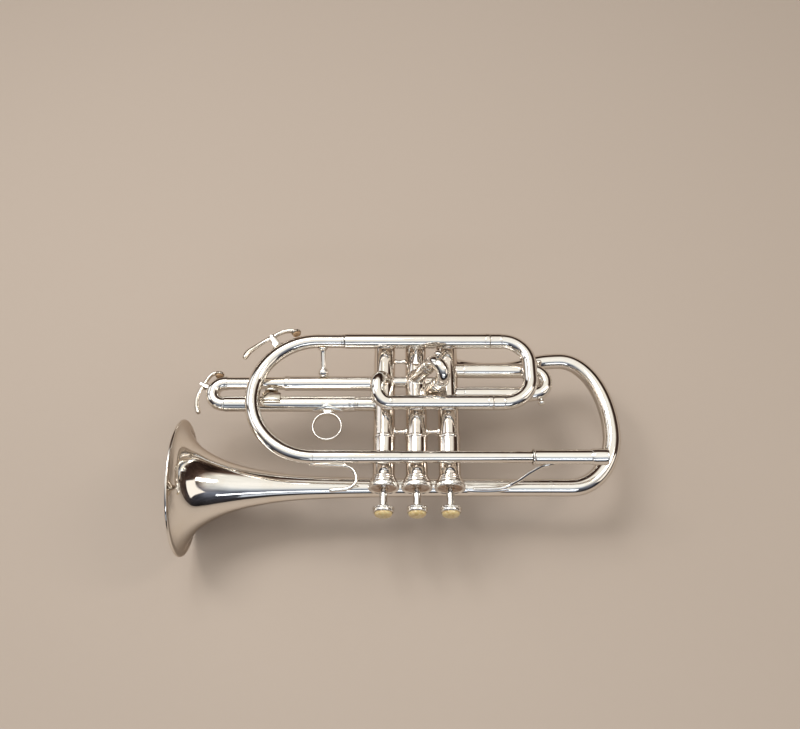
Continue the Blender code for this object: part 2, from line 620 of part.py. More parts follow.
def build_slide3():
    ya, yb = SLIDE3_Y
    x3 = VALVE_X[2]
    o = tube("slide3_outer_upper", [(x3 - 6.0, ya, 0), (-115.7, ya, 0), (-116.1, ya, 0), (-119.4, ya, 0)],
             [6.5, 6.5, 6.85, 6.85], OUTER_WALL, "silver", origin=(-75.0, ya, 0))
    cope(o, 2)
    o = tube("slide3_inner_lower", [(x3 - 6.0, yb, 0), (-52.3, yb, 0), (-52.6, yb, 0), (-150.0, yb, 0)],
             [6.5, 6.5, 6.05, 6.05], 0.5, "silver", origin=(-75.0, yb, 0))
    cope(o, 2)
    yc, r = (ya + yb) / 2, (ya - yb) / 2
    pts = [(-56.0, ya, 0), (-150.0, ya, 0), (-173.2, ya, 0), (-173.4, ya, 0)]
    pts += arc((S3_XC, yc), r, 90, 270, 10, 0)[1:]
    rad = [5.65, 5.65, 5.65, 6.25] + [6.25] * 10
    pts += [(-172.6, yb, 0)]
    rad += [6.25]
    obj = tube("third_slide_bow", pts, rad, 0.5, "silver", origin=(-150.0, yc, 0))
    # saddle of the water key on the outer side of the bow
    a = WK3_A
    ux, uy = math.cos(a), math.sin(a)
    for k, dz in enumerate((-2.9, 2.9)):
        b = box("third_saddle_%d" % k, (-2.2, -1.0, -0.6), (2.2, 7.6, 0.6), None)
        b.location = W((S3_XC + (r + 5.2 + 3.0) * ux, yc + (r + 5.2 + 3.0) * uy, dz))
        b.rotation_euler = (0.0, 0.0, a - math.pi / 2)
        boolean(obj, b, "UNION")
    # sliding sleeve over the fixed lower tube
    tube("third_slide_sleeve", [(-172.2, yb, 0), (-60.0, yb, 0), (-59.6, yb, 0), (-54.7, yb, 0)],
         [6.95, 6.95, 7.3, 7.3], 0.55, "silver", origin=(-110.0, yb, 0))

    # finger ring: flat band on a pointed foot that hugs the sleeve
    rc = (-79.4, yb - 22.6, 0.0)
    prof = [(12.1, -2.6), (13.3, -2.6), (13.55, 0.0), (13.3, 2.6), (12.1, 2.6), (11.9, 0.0)]
    ring = turned("finger_ring", prof, 26, "bright", rc, "+Z")
    foot = box("finger_ring_foot", (-93.0, yb - 10.4, -4.2), (-66.0, yb - 4.0, 4.2), None)
    for i, sgn in enumerate((-1, 1)):
        w = box("finger_ring_trim%d" % i, (-15.0, -4.0, -6.0), (15.0, 4.0, 6.0), None)
        w.location = W((rc[0] + sgn * 10.3, yb - 13.1, 0.0))
        w.rotation_euler = (0.0, 0.0, math.radians(sgn * 14.5))
        boolean(foot, w, "DIFFERENCE")
    boolean(foot, cyl("finger_ring_sleeve", (-100, yb, 0), (-55, yb, 0), 6.95 + GAP, 20), "DIFFERENCE")
    boolean(ring, foot, "UNION")

    # lyre holder: small square socket beside the sleeve, with its thumb screw
    lo, hi = (-138.0, yb - 1.5, 7.3), (-121.5, yb + 6.8, 9.9)
    h = box("lyre_holder", (-138.0, yb - 2.5, 2.0), (-121.5, yb + 7.6, 9.9), "bright")
    boolean(h, cyl("lyre_holder_seat", (-150, yb, 0), (-110, yb, 0), 6.95 + GAP, 20), "DIFFERENCE")
    boolean(h, box("lyre_holder_socket", (-142.0, yb + 1.8, 6.6), (-118.0, yb + 5.0, 8.9), None), "DIFFERENCE")
    scr = turned("lyre_screw", [(0.0, 0.0), (1.2, 0.0), (1.2, 1.6), (5.8, 1.6), (6.2, 2.0), (6.2, 3.6), (5.8, 4.0),
                                (1.5, 4.2), (0.0, 4.2)], 16, "bright", (-130.6, yb + 7.9, 3.9), "+Y")


# ---- water keys ----------------------------------------------------------------------------
WK3_A = math.radians(158.0)
WK3_PIVOT = (S3_XC + (10.35 + 6.25 + 4.6) * math.cos(WK3_A), (99.6 + 78.9) / 2 + (10.35 + 6.25 + 4.6) * math.sin(WK3_A), 0.0)


def key(name, cork_name, pivot, pts, radii, zc, cup_at, cup_dir):
    """Bent lever on a barrel, with a round cup at one end; the cork sits in the cup."""
    lev = rod(name, pts, radii, "bright", origin=pivot, res=2)
    br = cyl(name + "_barrel", (pivot[0], pivot[1], zc - 2.1), (pivot[0], pivot[1], zc + 2.1), 1.9, 10)
    boolean(lev, br, "UNION")
    c = Vector(cup_at)
    d = Vector(cup_dir).normalized()
    cup = cyl(name + "_cup", tuple(c - d * 0.4), tuple(c + d * 2.0), 4.3, 14)
    boolean(lev, cup, "UNION")
    cork = cyl(cork_name, tuple(c - d * 2.6), tuple(c - d * 0.7), 3.6, 14, "cork")
    return lev, cork


def build_keys():
    c, r = FRONT_BOW_C, FRONT_BOW_R

    def on(a, h, z=WK1_Z):
        a = math.radians(a)
        return (c[0] + (r + h) * math.cos(a), c[1] + (r + h) * math.sin(a), z)

    # front bow: finger end at the left, cork at the right
    pts = [on(149.5, 20.0), on(145.0, 20.4), on(139.0, 18.8), on(132.0, 17.6), on(126.0, 16.4), on(120.0, 16.6), on(115.0, 16.0),
           on(110.5, 13.8), on(106.5, 12.6)]
    rad = [2.6, 2.3, 1.9, 1.5, 1.6, 1.4, 1.3, 1.3, 1.1]
    cup = on(108.0, 11.2)
    a = math.radians(108.0)
    key("bow_water_key", "bow_key_cork", WK1_PIVOT, pts, rad, WK1_Z, cup, (math.cos(a), math.sin(a), 0))

    yc = (SLIDE3_Y[0] + SLIDE3_Y[1]) / 2
    px, py, pz = WK3_PIVOT
    pts = [(px - 1.5, py - 27.5, 0), (px - 3.8, py - 21.0, 0), (px - 4.6, py - 13.0, 0), (px - 2.8, py - 6.0, 0), (px, py, 0),
           (px + 2.6, py + 5.6, 0), (px + 6.6, py + 11.6, 0), (px + 12.6, py + 13.9, 0)]
    rad = [2.3, 2.1, 1.7, 1.4, 1.6, 1.3, 1.2, 1.1]
    cup = (px + 13.6, SLIDE3_Y[0] + 6.25 + 3.0, 0.0)
    key("third_water_key", "third_key_cork", WK3_PIVOT, pts, rad, 0.0, cup, (0, 1, 0))


# ---- hook and braces -----------------------------------------------------------------------
def build_hook():
    z = 14.4
    pts = [(-86.0, 13.6, z), (-74.0, 13.4, z), (-64.0, 13.6, z), (-58.0, 12.4, z), (-53.6, 9.0, z), (-51.6, 4.4, z),
           (-51.6, 0.2, z), (-53.6, -3.8, z), (-57.8, -6.6, z), (-63.0, -7.6, z), (-71.0, -7.8, z), (-73.0, -7.8, z)]
    rad = [1.2, 1.5, 1.7, 1.7, 1.6, 1.6, 1.6, 1.6, 1.7, 1.8, 2.0, 1.4]
    h = rod("finger_hook", pts, rad, "bright", origin=(-60.0, 5.0, z), res=2)
    foot = box("finger_hook_foot", (-90.0, 11.9, 9.5), (-61.5, 17.0, 17.0), None)
    boolean(h, foot, "UNION")
    boolean(h, cyl("finger_hook_seat", (-110, LEADPIPE[0], LEADPIPE[1]), (-40, LEADPIPE[0], LEADPIPE[1]), 5.9 + GAP, 20), "DIFFERENCE")


def build_braces():
    # S-shaped rod from under the receiver to a long leaf foot on the bell's stem
    pts = [(118.0, 17.4, 10.6), (112.3, 16.5, 11.0), (105.8, 15.1, 7.5), (97.9, 12.4, 1.0), (89.9, 8.8, -6.0), (82.0, 6.7, -12.7),
           (75.0, 4.6, -14.3), (66.0, 4.7, -16.55), (58.0, 4.86, -16.9), (50.0, 4.86, -16.9), (44.5, 4.7, -16.6)]
    rad = [1.2, 1.4, 1.15, 1.1, 1.1, 1.2, 2.2, 3.8, 4.1, 3.9, 2.9]
    obj = rod("bell_brace", pts, rad, "bright", origin=(82.0, 6.7, -12.7), res=2)
    boolean(obj, cyl("bell_brace_seat0", (60, LEADPIPE[0], LEADPIPE[1]), (150, LEADPIPE[0], LEADPIPE[1]), 6.2 + GAP, 20), "DIFFERENCE")
    boolean(obj, cyl("bell_brace_seat1", (30, BELL_AXIS[0], BELL_AXIS[1]), (130, BELL_AXIS[0], BELL_AXIS[1]), 7.95 + GAP, 24), "DIFFERENCE")

    def post(name, p, q, rp, rq, prof, axis_p, axis_q):
        p, q = Vector(p), Vector(q)
        d = (q - p).normalized()
        obj = turned(name, prof((q - p).length), 12, "silver", tuple(p), d.to_track_quat("Z", "Y").to_euler())
        for i, ((u, v), rr) in enumerate(((axis_p, rp), (axis_q, rq))):
            boolean(obj, cyl("%s_seat%d" % (name, i), u, v, rr + GAP, 20), "DIFFERENCE")
        return obj

    # flared post from the upper leg to the third slide's outer tube
    post("bow_brace", (-85.0, UPPER_LEG[0] - 4.2, 15.2), (-84.2, SLIDE3_Y[0] + 3.0, 2.6), 6.75, 6.5,
         lambda L: [(0.0, 0.0), (4.5, 0.0), (4.1, 2.6), (2.5, 4.6), (2.3, L / 2), (2.3, L - 10.2), (3.6, L - 8.8), (4.6, L - 6.4), (4.7, L - 2.4), (4.2, L), (0.0, L)],
         ((-120, UPPER_LEG[0], 17.0), (-50, UPPER_LEG[0], 17.0)), ((-115, SLIDE3_Y[0], 0), (-50, SLIDE3_Y[0], 0)))
    # flared post from the upper leg to casing 2
    post("slide_brace", (0.0, UPPER_LEG[0] - 4.0, 15.6), (0.0, 115.5, 7.0), 6.75, CASING_R,
         lambda L: [(0.0, 0.0), (3.0, 0.0), (2.6, 3.0), (1.6, 4.6), (1.5, L * 0.45), (2.2, L * 0.62), (4.0, L * 0.86), (4.2, L), (0.0, L)],
         ((-40, UPPER_LEG[0], 17.0), (40, UPPER_LEG[0], 17.0)), ((0, 90, 0), (0, 150, 0)))


build_bell()
build_crook()
build_leadpipe()
build_receiver()
build_front_bow()
build_main_outer()
build_knuckle()
build_main_slide()
for _k in range(3):
    build_valve(_k)
build_casing_links()
build_slide1()
build_slide2()
build_slide3()
build_keys()
build_hook()
build_braces()
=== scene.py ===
"""Looks for the cornet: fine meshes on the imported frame, procedural finishes, plain stage, camera."""
import math

import bmesh
import bpy
import numpy as np
from mathutils import Matrix, Vector


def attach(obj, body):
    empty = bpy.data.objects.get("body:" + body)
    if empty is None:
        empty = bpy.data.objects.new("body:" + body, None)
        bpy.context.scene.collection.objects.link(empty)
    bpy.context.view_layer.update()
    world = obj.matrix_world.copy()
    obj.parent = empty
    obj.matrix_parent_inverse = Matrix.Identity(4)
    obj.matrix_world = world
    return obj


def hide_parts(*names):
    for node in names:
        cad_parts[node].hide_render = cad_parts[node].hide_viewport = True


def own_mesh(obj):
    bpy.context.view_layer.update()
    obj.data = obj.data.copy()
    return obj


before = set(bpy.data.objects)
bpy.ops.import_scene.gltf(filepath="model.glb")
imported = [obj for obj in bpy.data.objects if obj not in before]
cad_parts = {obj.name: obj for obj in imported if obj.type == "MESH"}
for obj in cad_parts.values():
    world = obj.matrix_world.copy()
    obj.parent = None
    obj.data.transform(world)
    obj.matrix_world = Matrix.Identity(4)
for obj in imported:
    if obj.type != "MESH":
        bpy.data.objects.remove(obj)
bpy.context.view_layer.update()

MM = 0.001
SHIFT = np.array((10.38, -48.19, 81.25))     # instrument axes (mm) to the row frame

# ---- driving dimensions, the same as the CAD ---------------------------------------------------
VALVE_X = (28.6, 0.0, -28.6)
CASING_R, CASING_BORE = 9.55, 8.75
TOP_CAP_R, BUTTON_R, STEM_R = 13.4, 9.3, 3.4
BELL_AXIS = (7.3, -21.5)
BELL_RIM_X = -206.6
LEAD = (20.9, 17.0)
UPPER = (134.2, 17.0)
LOWER = (72.2, 17.0)
FRONT_C, FRONT_R = (-88.6, 77.55), 56.65
S1_Y = (112.5, 88.6)
S3_Y = (99.6, 78.9)
S3_XC = -173.95
S2_D = Vector((0.42, 0.0, 0.9075)).normalized()
S2_A = Vector((-3.0, 102.0, 0.0))
S2_B = Vector((7.5, 86.4, 0.0))
WK1_Z, WK1_A = 19.0, math.radians(126.0)
WK3_A = math.radians(158.0)


# ---- mesh building -----------------------------------------------------------------------------
class Shape:
    """Gathers closed surfaces, in millimetres along the instrument's own axes."""

    def __init__(self):
        self.v, self.f = [], []
        self.n = 0

    def grid(self, rows, close_u=True, close_v=False, flip=False):
        """rows: list of equal-length point rings."""
        base, m = self.n, len(rows[0])
        for r in rows:
            self.v.extend(tuple(p) for p in r)
        self.n += m * len(rows)
        k = len(rows)
        for i in range(k if close_v else k - 1):
            a, b = base + i * m, base + ((i + 1) % k) * m
            for j in range(m if close_u else m - 1):
                j2 = (j + 1) % m
                q = (a + j, a + j2, b + j2, b + j)
                self.f.append(q[::-1] if flip else q)
        return base

    def cap(self, ring_start, m, centre, flip=False):
        c = self.n
        self.v.append(tuple(centre))
        self.n += 1
        for j in range(m):
            t = (ring_start + j, c, ring_start + (j + 1) % m)
            self.f.append(t[::-1] if flip else t)

    def absorb(self, bm, matrix=None):
        base = self.n
        if matrix is not None:
            bm.transform(matrix)
        bm.verts.ensure_lookup_table()
        self.v.extend(tuple(v.co) for v in bm.verts)
        for f in bm.faces:
            self.f.append(tuple(base + v.index for v in f.verts))
        self.n += len(bm.verts)
        bm.free()
        return self


def to_object(shape, name, angle=38.0):
    me = bpy.data.meshes.new(name)
    co = (np.array(shape.v, float) + SHIFT) * MM
    me.from_pydata([tuple(c) for c in co], [], shape.f)
    me.validate()
    bm = bmesh.new()
    bm.from_mesh(me)
    bmesh.ops.remove_doubles(bm, verts=bm.verts, dist=1e-7)
    bmesh.ops.dissolve_degenerate(bm, dist=1e-8, edges=bm.edges)
    bmesh.ops.recalc_face_normals(bm, faces=bm.faces)
    bm.to_mesh(me)
    bm.free()
    me.shade_smooth()
    me.set_sharp_from_angle(angle=math.radians(angle))
    ob = bpy.data.objects.new(name, me)
    bpy.context.scene.collection.objects.link(ob)
    return ob


def piece(shape, name, body, material, nodes, angle=38.0):
    ob = to_object(shape, name, angle)
    ob.data.materials.append(material)
    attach(ob, body)
    if nodes:
        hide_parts(*nodes)
    return ob


def frames_along(pts, up=None):
    """Tangent, normal, binormal at each point; parallel transport unless a fixed up is given."""
    P = [Vector(p) for p in pts]
    n = len(P)
    T = []
    for i in range(n):
        a, b = P[max(0, i - 1)], P[min(n - 1, i + 1)]
        T.append((b - a).normalized())
    out = []
    if up is not None:
        u = Vector(up)
        for t in T:
            s = u.cross(t)
            s = s.normalized() if s.length > 1e-6 else Vector((0, 1, 0))
            out.append((t, s, t.cross(s).normalized()))
        return out
    t0 = T[0]
    ref = Vector((0, 0, 1)) if abs(t0.z) < 0.9 else Vector((0, 1, 0))
    s = (ref - t0 * ref.dot(t0)).normalized()
    for i, t in enumerate(T):
        if i:
            prev = T[i - 1]
            ax = prev.cross(t)
            if ax.length > 1e-9:
                s = Matrix.Rotation(prev.angle(t), 3, ax.normalized()) @ s
            s = (s - t * s.dot(t)).normalized()
        out.append((t, s, t.cross(s).normalized()))
    return out


def ring_at(p, fr, a, b=None, sides=48, power=2.0):
    """One cross-section: circle, ellipse, or rounded box when power > 2."""
    t, s, q = fr
    p = Vector(p)
    b = a if b is None else b
    ring = []
    for j in range(sides):
        th = math.tau * j / sides
        c, d = math.cos(th), math.sin(th)
        if power != 2.0:
            k = (abs(c) ** power + abs(d) ** power) ** (-1.0 / power)
            c, d = c * k, d * k
        ring.append(p + s * (a * c) + q * (b * d))
    return ring


def onto_casing(ring, direction, vx, radius):
    """Slides each point of an end ring along direction until it lies on a casing's surface."""
    d = Vector(direction).normalized()
    out = []
    for p in ring:
        # solve |(p + d t - axis)_xz| = radius for the root nearest to the point
        ax, az = p.x - vx, p.z
        A = d.x * d.x + d.z * d.z
        B = 2 * (ax * d.x + az * d.z)
        C = ax * ax + az * az - radius * radius
        disc = B * B - 4 * A * C
        if disc < 0:
            t = -B / (2 * A)
        else:
            r = math.sqrt(disc)
            t1, t2 = (-B - r) / (2 * A), (-B + r) / (2 * A)
            t = t1 if abs(t1) < abs(t2) else t2
        out.append(p + d * t)
    return out


def sweep(shape, pts, radii, sides=48, wall=None, second=None, up=None, power=2.0, start_on=None, end_on=None,
          round_ends=0.0):
    """Tube or bar along pts. wall gives a hollow tube; start_on/end_on = (direction, valve_x) saddles an end."""
    n = len(pts)
    if not hasattr(radii, "__len__"):
        radii = [radii] * n
    fr = frames_along(pts, up)
    rows = []
    for i in range(n):
        b = None if second is None else (second[i] if hasattr(second, "__len__") else second)
        rows.append(ring_at(pts[i], fr[i], radii[i], b, sides, power))
    if start_on:
        rows[0] = onto_casing(rows[0], start_on[0], start_on[1], CASING_R - 0.35)
    if end_on:
        rows[-1] = onto_casing(rows[-1], end_on[0], end_on[1], CASING_R - 0.35)
    if round_ends > 0:
        k = 4
        for end in (0, -1):
            t = fr[end][0] * (-1 if end == 0 else 1)
            base = rows[end]
            c = sum((Vector(p) for p in base), Vector()) / len(base)
            extra = []
            for i in range(1, k + 1):
                a = math.pi / 2 * i / (k + 0.35)
                extra.append([c + (Vector(p) - c) * math.cos(a) + t * (round_ends * math.sin(a)) for p in base])
            rows = extra[::-1] + rows if end == 0 else rows + extra
    if wall is None:
        base = shape.grid(rows)
        c0 = sum((Vector(p) for p in rows[0]), Vector()) / sides
        c1 = sum((Vector(p) for p in rows[-1]), Vector()) / sides
        shape.cap(base, sides, c0)
        shape.cap(base + (len(rows) - 1) * sides, sides, c1, flip=True)
        return
    inner = []
    for i in range(n):
        inner.append(ring_at(pts[i], fr[i], max(0.2, radii[i] - wall), None, sides, power))
    if start_on:
        inner[0] = onto_casing(inner[0], start_on[0], start_on[1], CASING_R - 0.35)
    if end_on:
        inner[-1] = onto_casing(inner[-1], end_on[0], end_on[1], CASING_R - 0.35)
    shape.grid(rows + inner[::-1], close_v=True)


def fillet(profile, r=0.3, k=3, keep_ends=True):
    """Rounds the corners of an open (radius, height) profile."""
    out = [profile[0]]
    for i in range(1, len(profile) - 1):
        p0, p1, p2 = (np.array(profile[i + d], float) for d in (-1, 0, 1))
        a, b = p0 - p1, p2 - p1
        la, lb = np.linalg.norm(a), np.linalg.norm(b)
        if la < 1e-6 or lb < 1e-6:
            continue
        a, b = a / la, b / lb
        cosang = float(np.clip(np.dot(a, b), -1, 1))
        ang = math.acos(cosang)
        if ang > math.radians(172):
            out.append(tuple(p1))
            continue
        d = min(r / math.tan(ang / 2), 0.46 * la, 0.46 * lb)
        s, e = p1 + a * d, p1 + b * d
        for j in range(k + 1):
            t = j / k
            q = (1 - t) ** 2 * s + 2 * t * (1 - t) * p1 + t * t * e
            out.append((float(max(q[0], 0.0)), float(q[1])))
    out.append(profile[-1])
    return out


AXIS_FRAMES = {
    "+X": (Vector((1, 0, 0)), Vector((0, 1, 0)), Vector((0, 0, 1))),
    "-Y": (Vector((0, -1, 0)), Vector((1, 0, 0)), Vector((0, 0, -1))),
    "+Y": (Vector((0, 1, 0)), Vector((1, 0, 0)), Vector((0, 0, 1))),
    "+Z": (Vector((0, 0, 1)), Vector((1, 0, 0)), Vector((0, 1, 0))),
}


def lathe(shape, profile, origin, axis, n=96, ripple=None):
    """Turns a (radius, height) profile. Ends on the axis close; otherwise the profile is a closed loop.
    ripple(i, theta) adds to the radius, for knurls and flutes."""
    if isinstance(axis, str):
        d, s, q = AXIS_FRAMES[axis]
    else:
        d = Vector(axis).normalized()
        ref = Vector((0, 0, 1)) if abs(d.z) < 0.9 else Vector((1, 0, 0))
        s = (ref - d * ref.dot(d)).normalized()
        q = d.cross(s).normalized()
    o = Vector(origin)
    on0, on1 = profile[0][0] < 1e-6, profile[-1][0] < 1e-6
    body = profile[(1 if on0 else 0):(len(profile) - 1 if on1 else len(profile))]
    rows = []
    for i, (r, h) in enumerate(body):
        ring = []
        for j in range(n):
            th = math.tau * j / n
            rr = r + (ripple(i, th, r, h) if ripple else 0.0)
            ring.append(o + d * h + s * (rr * math.cos(th)) + q * (rr * math.sin(th)))
        rows.append(ring)
    loop = not on0 and not on1
    base = shape.grid(rows, close_v=loop)
    if on0:
        shape.cap(base, n, o + d * profile[0][1])
    if on1:
        shape.cap(base + (len(rows) - 1) * n, n, o + d * profile[-1][1], flip=True)
    if loop:
        return
    if on0 != on1:
        raise ValueError("a profile closes at both ends or at neither")


def dense(points, step=1.2, smooth=True):
    """Catmull-Rom through points, resampled at about step mm."""
    P = [np.array(p, float) for p in points]
    out = []
    for i in range(len(P) - 1):
        p0, p1, p2, p3 = P[max(0, i - 1)], P[i], P[i + 1], P[min(len(P) - 1, i + 2)]
        n = max(1, int(np.linalg.norm(p2 - p1) / step))
        for j in range(n):
            t = j / n
            if smooth:
                t0 = 0.0
                d1 = max(np.linalg.norm(p1 - p0), 1e-6) ** 0.5 if i else None
                d2 = np.linalg.norm(p2 - p1) ** 0.5
                d3 = max(np.linalg.norm(p3 - p2), 1e-6) ** 0.5 if i < len(P) - 2 else None
                m1 = (p2 - p1) if d1 is None else d2 * ((p1 - p0) / d1 - (p2 - p0) / (d1 + d2) + (p2 - p1) / d2)
                m2 = (p2 - p1) if d3 is None else d2 * ((p2 - p1) / d2 - (p3 - p1) / (d2 + d3) + (p3 - p2) / d3)
                h00, h10 = 2 * t ** 3 - 3 * t ** 2 + 1, t ** 3 - 2 * t ** 2 + t
                h01, h11 = -2 * t ** 3 + 3 * t ** 2, t ** 3 - t ** 2
                out.append(h00 * p1 + h10 * m1 + h01 * p2 + h11 * m2)
            else:
                out.append(p1 + (p2 - p1) * t)
    out.append(P[-1])
    return out


def with_radius(points, step=1.2, smooth=True):
    """points carry (x, y, z, r); returns dense positions and radii."""
    q = dense(points, step, smooth)
    return [Vector(p[:3]) for p in q], [float(p[3]) for p in q]


def arc_pts(c, r, a0, a1, n, z):
    return [(c[0] + r * math.cos(math.radians(a0 + (a1 - a0) * i / n)),
             c[1] + r * math.sin(math.radians(a0 + (a1 - a0) * i / n)), z) for i in range(n + 1)]


def straight(p, q, step):
    n = max(1, int((Vector(q) - Vector(p)).length / step))
    return [Vector(p).lerp(Vector(q), i / n) for i in range(n + 1)]


def collar_tube(shape, origin, axis, length, r, wall, rings=(), n=64, saddle=None):
    """Straight drawn tube with beads or sleeves: rings = [(from, to, radius)], hollow."""
    prof = [(r, 0.0)]
    for a, b, rr in rings:
        prof += [(r, a), (rr, a + 0.02), (rr, b - 0.02), (r, b)]
    prof += [(r, length), (r - wall, length), (r - wall, 0.0)]
    clean = [prof[0]]
    for p in prof[1:]:
        if math.dist(p, clean[-1]) > 1e-4:
            clean.append(p)
    lathe(shape, fillet(clean + [clean[0]], 0.16, 3)[:-1], origin, axis, n)


def bevelled_box(shape, lo, hi, bevel=0.4, matrix=None, segments=3):
    bm = bmesh.new()
    bmesh.ops.create_cube(bm, size=1.0)
    size = Vector(hi) - Vector(lo)
    bmesh.ops.scale(bm, vec=size, verts=bm.verts)
    bmesh.ops.bevel(bm, geom=bm.edges[:], offset=bevel, segments=segments, profile=0.5, affect="EDGES")
    mid = (Vector(lo) + Vector(hi)) / 2
    bm.transform(Matrix.Translation(mid))
    shape.absorb(bm, matrix)


def disc(shape, p, direction, r0, r1, h, n=32, edge=0.15):
    """Small turned pad, for feet, pins and screws."""
    lathe(shape, fillet([(0.0, 0.0), (r0, 0.0), (r1, h), (0.0, h)], edge, 3), p, direction, n)


def solder_ring(shape, vx, tube_c, tube_r, axis_dir, f=0.9, n=72, rc=CASING_R):
    """Concave solder seam where a round tube meets a casing: axis_dir points from the casing outward."""
    d = Vector(axis_dir).normalized()
    ref = Vector((0, 1, 0))
    s = ref
    q = d.cross(s).normalized()
    c = Vector(tube_c)
    rows = []
    steps = 5
    prof = []
    for k in range(steps + 1):
        a = math.pi / 2 * k / steps
        prof.append((tube_r + f * (1 - math.sin(a)), f * (1 - math.cos(a))))
    prof += [(tube_r - 0.25, f), (tube_r - 0.25, -0.3), (tube_r + f, -0.3)]
    for (rr, off) in prof:
        ring = []
        for j in range(n):
            th = math.tau * j / n
            p = c + s * (rr * math.cos(th)) + q * (rr * math.sin(th))
            ax, az = p.x - vx, p.z
            A = d.x * d.x + d.z * d.z
            B = 2 * (ax * d.x + az * d.z)
            C = ax * ax + az * az - (rc + 0.02) ** 2
            disc_ = B * B - 4 * A * C
            t = (-B + math.sqrt(max(disc_, 0.0))) / (2 * A)
            ring.append(p + d * (t + off))
        rows.append(ring)
    shape.grid(rows, close_v=True)


# ---- finishes ----------------------------------------------------------------------------------
class Nodes:
    """Small helper for building a node tree."""

    def __init__(self, name):
        self.m = bpy.data.materials.new(name)
        self.m.use_nodes = True
        self.t = self.m.node_tree
        for n in list(self.t.nodes):
            self.t.nodes.remove(n)
        self.out = self.t.nodes.new("ShaderNodeOutputMaterial")
        self.b = self.t.nodes.new("ShaderNodeBsdfPrincipled")
        self.t.links.new(self.b.outputs[0], self.out.inputs[0])
        self.co = self.t.nodes.new("ShaderNodeTexCoord").outputs["Object"]

    def link(self, a, b):
        self.t.links.new(a, b)

    def val(self, sock, v):
        if hasattr(v, "links"):
            self.link(v, sock)
        else:
            sock.default_value = v

    def map(self, scale, rot=(0, 0, 0)):
        n = self.t.nodes.new("ShaderNodeMapping")
        n.inputs["Scale"].default_value = scale if hasattr(scale, "__len__") else (scale,) * 3
        n.inputs["Rotation"].default_value = rot
        self.link(self.co, n.inputs["Vector"])
        return n.outputs[0]

    def noise(self, scale, detail=3.0, rough=0.5, distort=0.0, vec=None):
        n = self.t.nodes.new("ShaderNodeTexNoise")
        n.inputs["Scale"].default_value = scale
        n.inputs["Detail"].default_value = detail
        n.inputs["Roughness"].default_value = rough
        n.inputs["Distortion"].default_value = distort
        self.link(vec if vec is not None else self.co, n.inputs["Vector"])
        return n.outputs["Fac"]

    def voronoi(self, scale, vec=None, feature="F1"):
        n = self.t.nodes.new("ShaderNodeTexVoronoi")
        n.feature = feature
        n.inputs["Scale"].default_value = scale
        self.link(vec if vec is not None else self.co, n.inputs["Vector"])
        return n.outputs["Distance"]

    def ramp(self, fac, stops):
        n = self.t.nodes.new("ShaderNodeValToRGB")
        e = n.color_ramp.elements
        while len(e) < len(stops):
            e.new(0.5)
        for el, (p, c) in zip(e, stops):
            el.position = p
            el.color = (c, c, c, 1) if not hasattr(c, "__len__") else (*c, 1)
        self.link(fac, n.inputs[0])
        return n.outputs[0]

    def range(self, fac, a, b, lo=0.3, hi=0.7):
        n = self.t.nodes.new("ShaderNodeMapRange")
        n.clamp = True
        n.inputs["From Min"].default_value = lo
        n.inputs["From Max"].default_value = hi
        n.inputs["To Min"].default_value = a
        n.inputs["To Max"].default_value = b
        self.link(fac, n.inputs["Value"])
        return n.outputs[0]

    def math(self, op, a, b=0.0):
        n = self.t.nodes.new("ShaderNodeMath")
        n.operation = op
        self.val(n.inputs[0], a)
        self.val(n.inputs[1], b)
        return n.outputs[0]

    def mix(self, fac, a, b, mode="MIX"):
        n = self.t.nodes.new("ShaderNodeMix")
        n.data_type = "RGBA"
        n.blend_type = mode
        self.val(n.inputs[0], fac)
        for s, v in ((n.inputs[6], a), (n.inputs[7], b)):
            if hasattr(v, "links"):
                self.link(v, s)
            else:
                s.default_value = (*v, 1)
        return n.outputs[2]

    def bump(self, height, strength, distance, prior=None):
        n = self.t.nodes.new("ShaderNodeBump")
        n.inputs["Strength"].default_value = strength
        n.inputs["Distance"].default_value = distance
        self.link(height, n.inputs["Height"])
        if prior is not None:
            self.link(prior, n.inputs["Normal"])
        return n.outputs[0]

    def ao(self, distance, samples=4):
        n = self.t.nodes.new("ShaderNodeAmbientOcclusion")
        n.samples = samples
        n.only_local = False
        n.inputs["Distance"].default_value = distance
        return n.outputs["AO"]


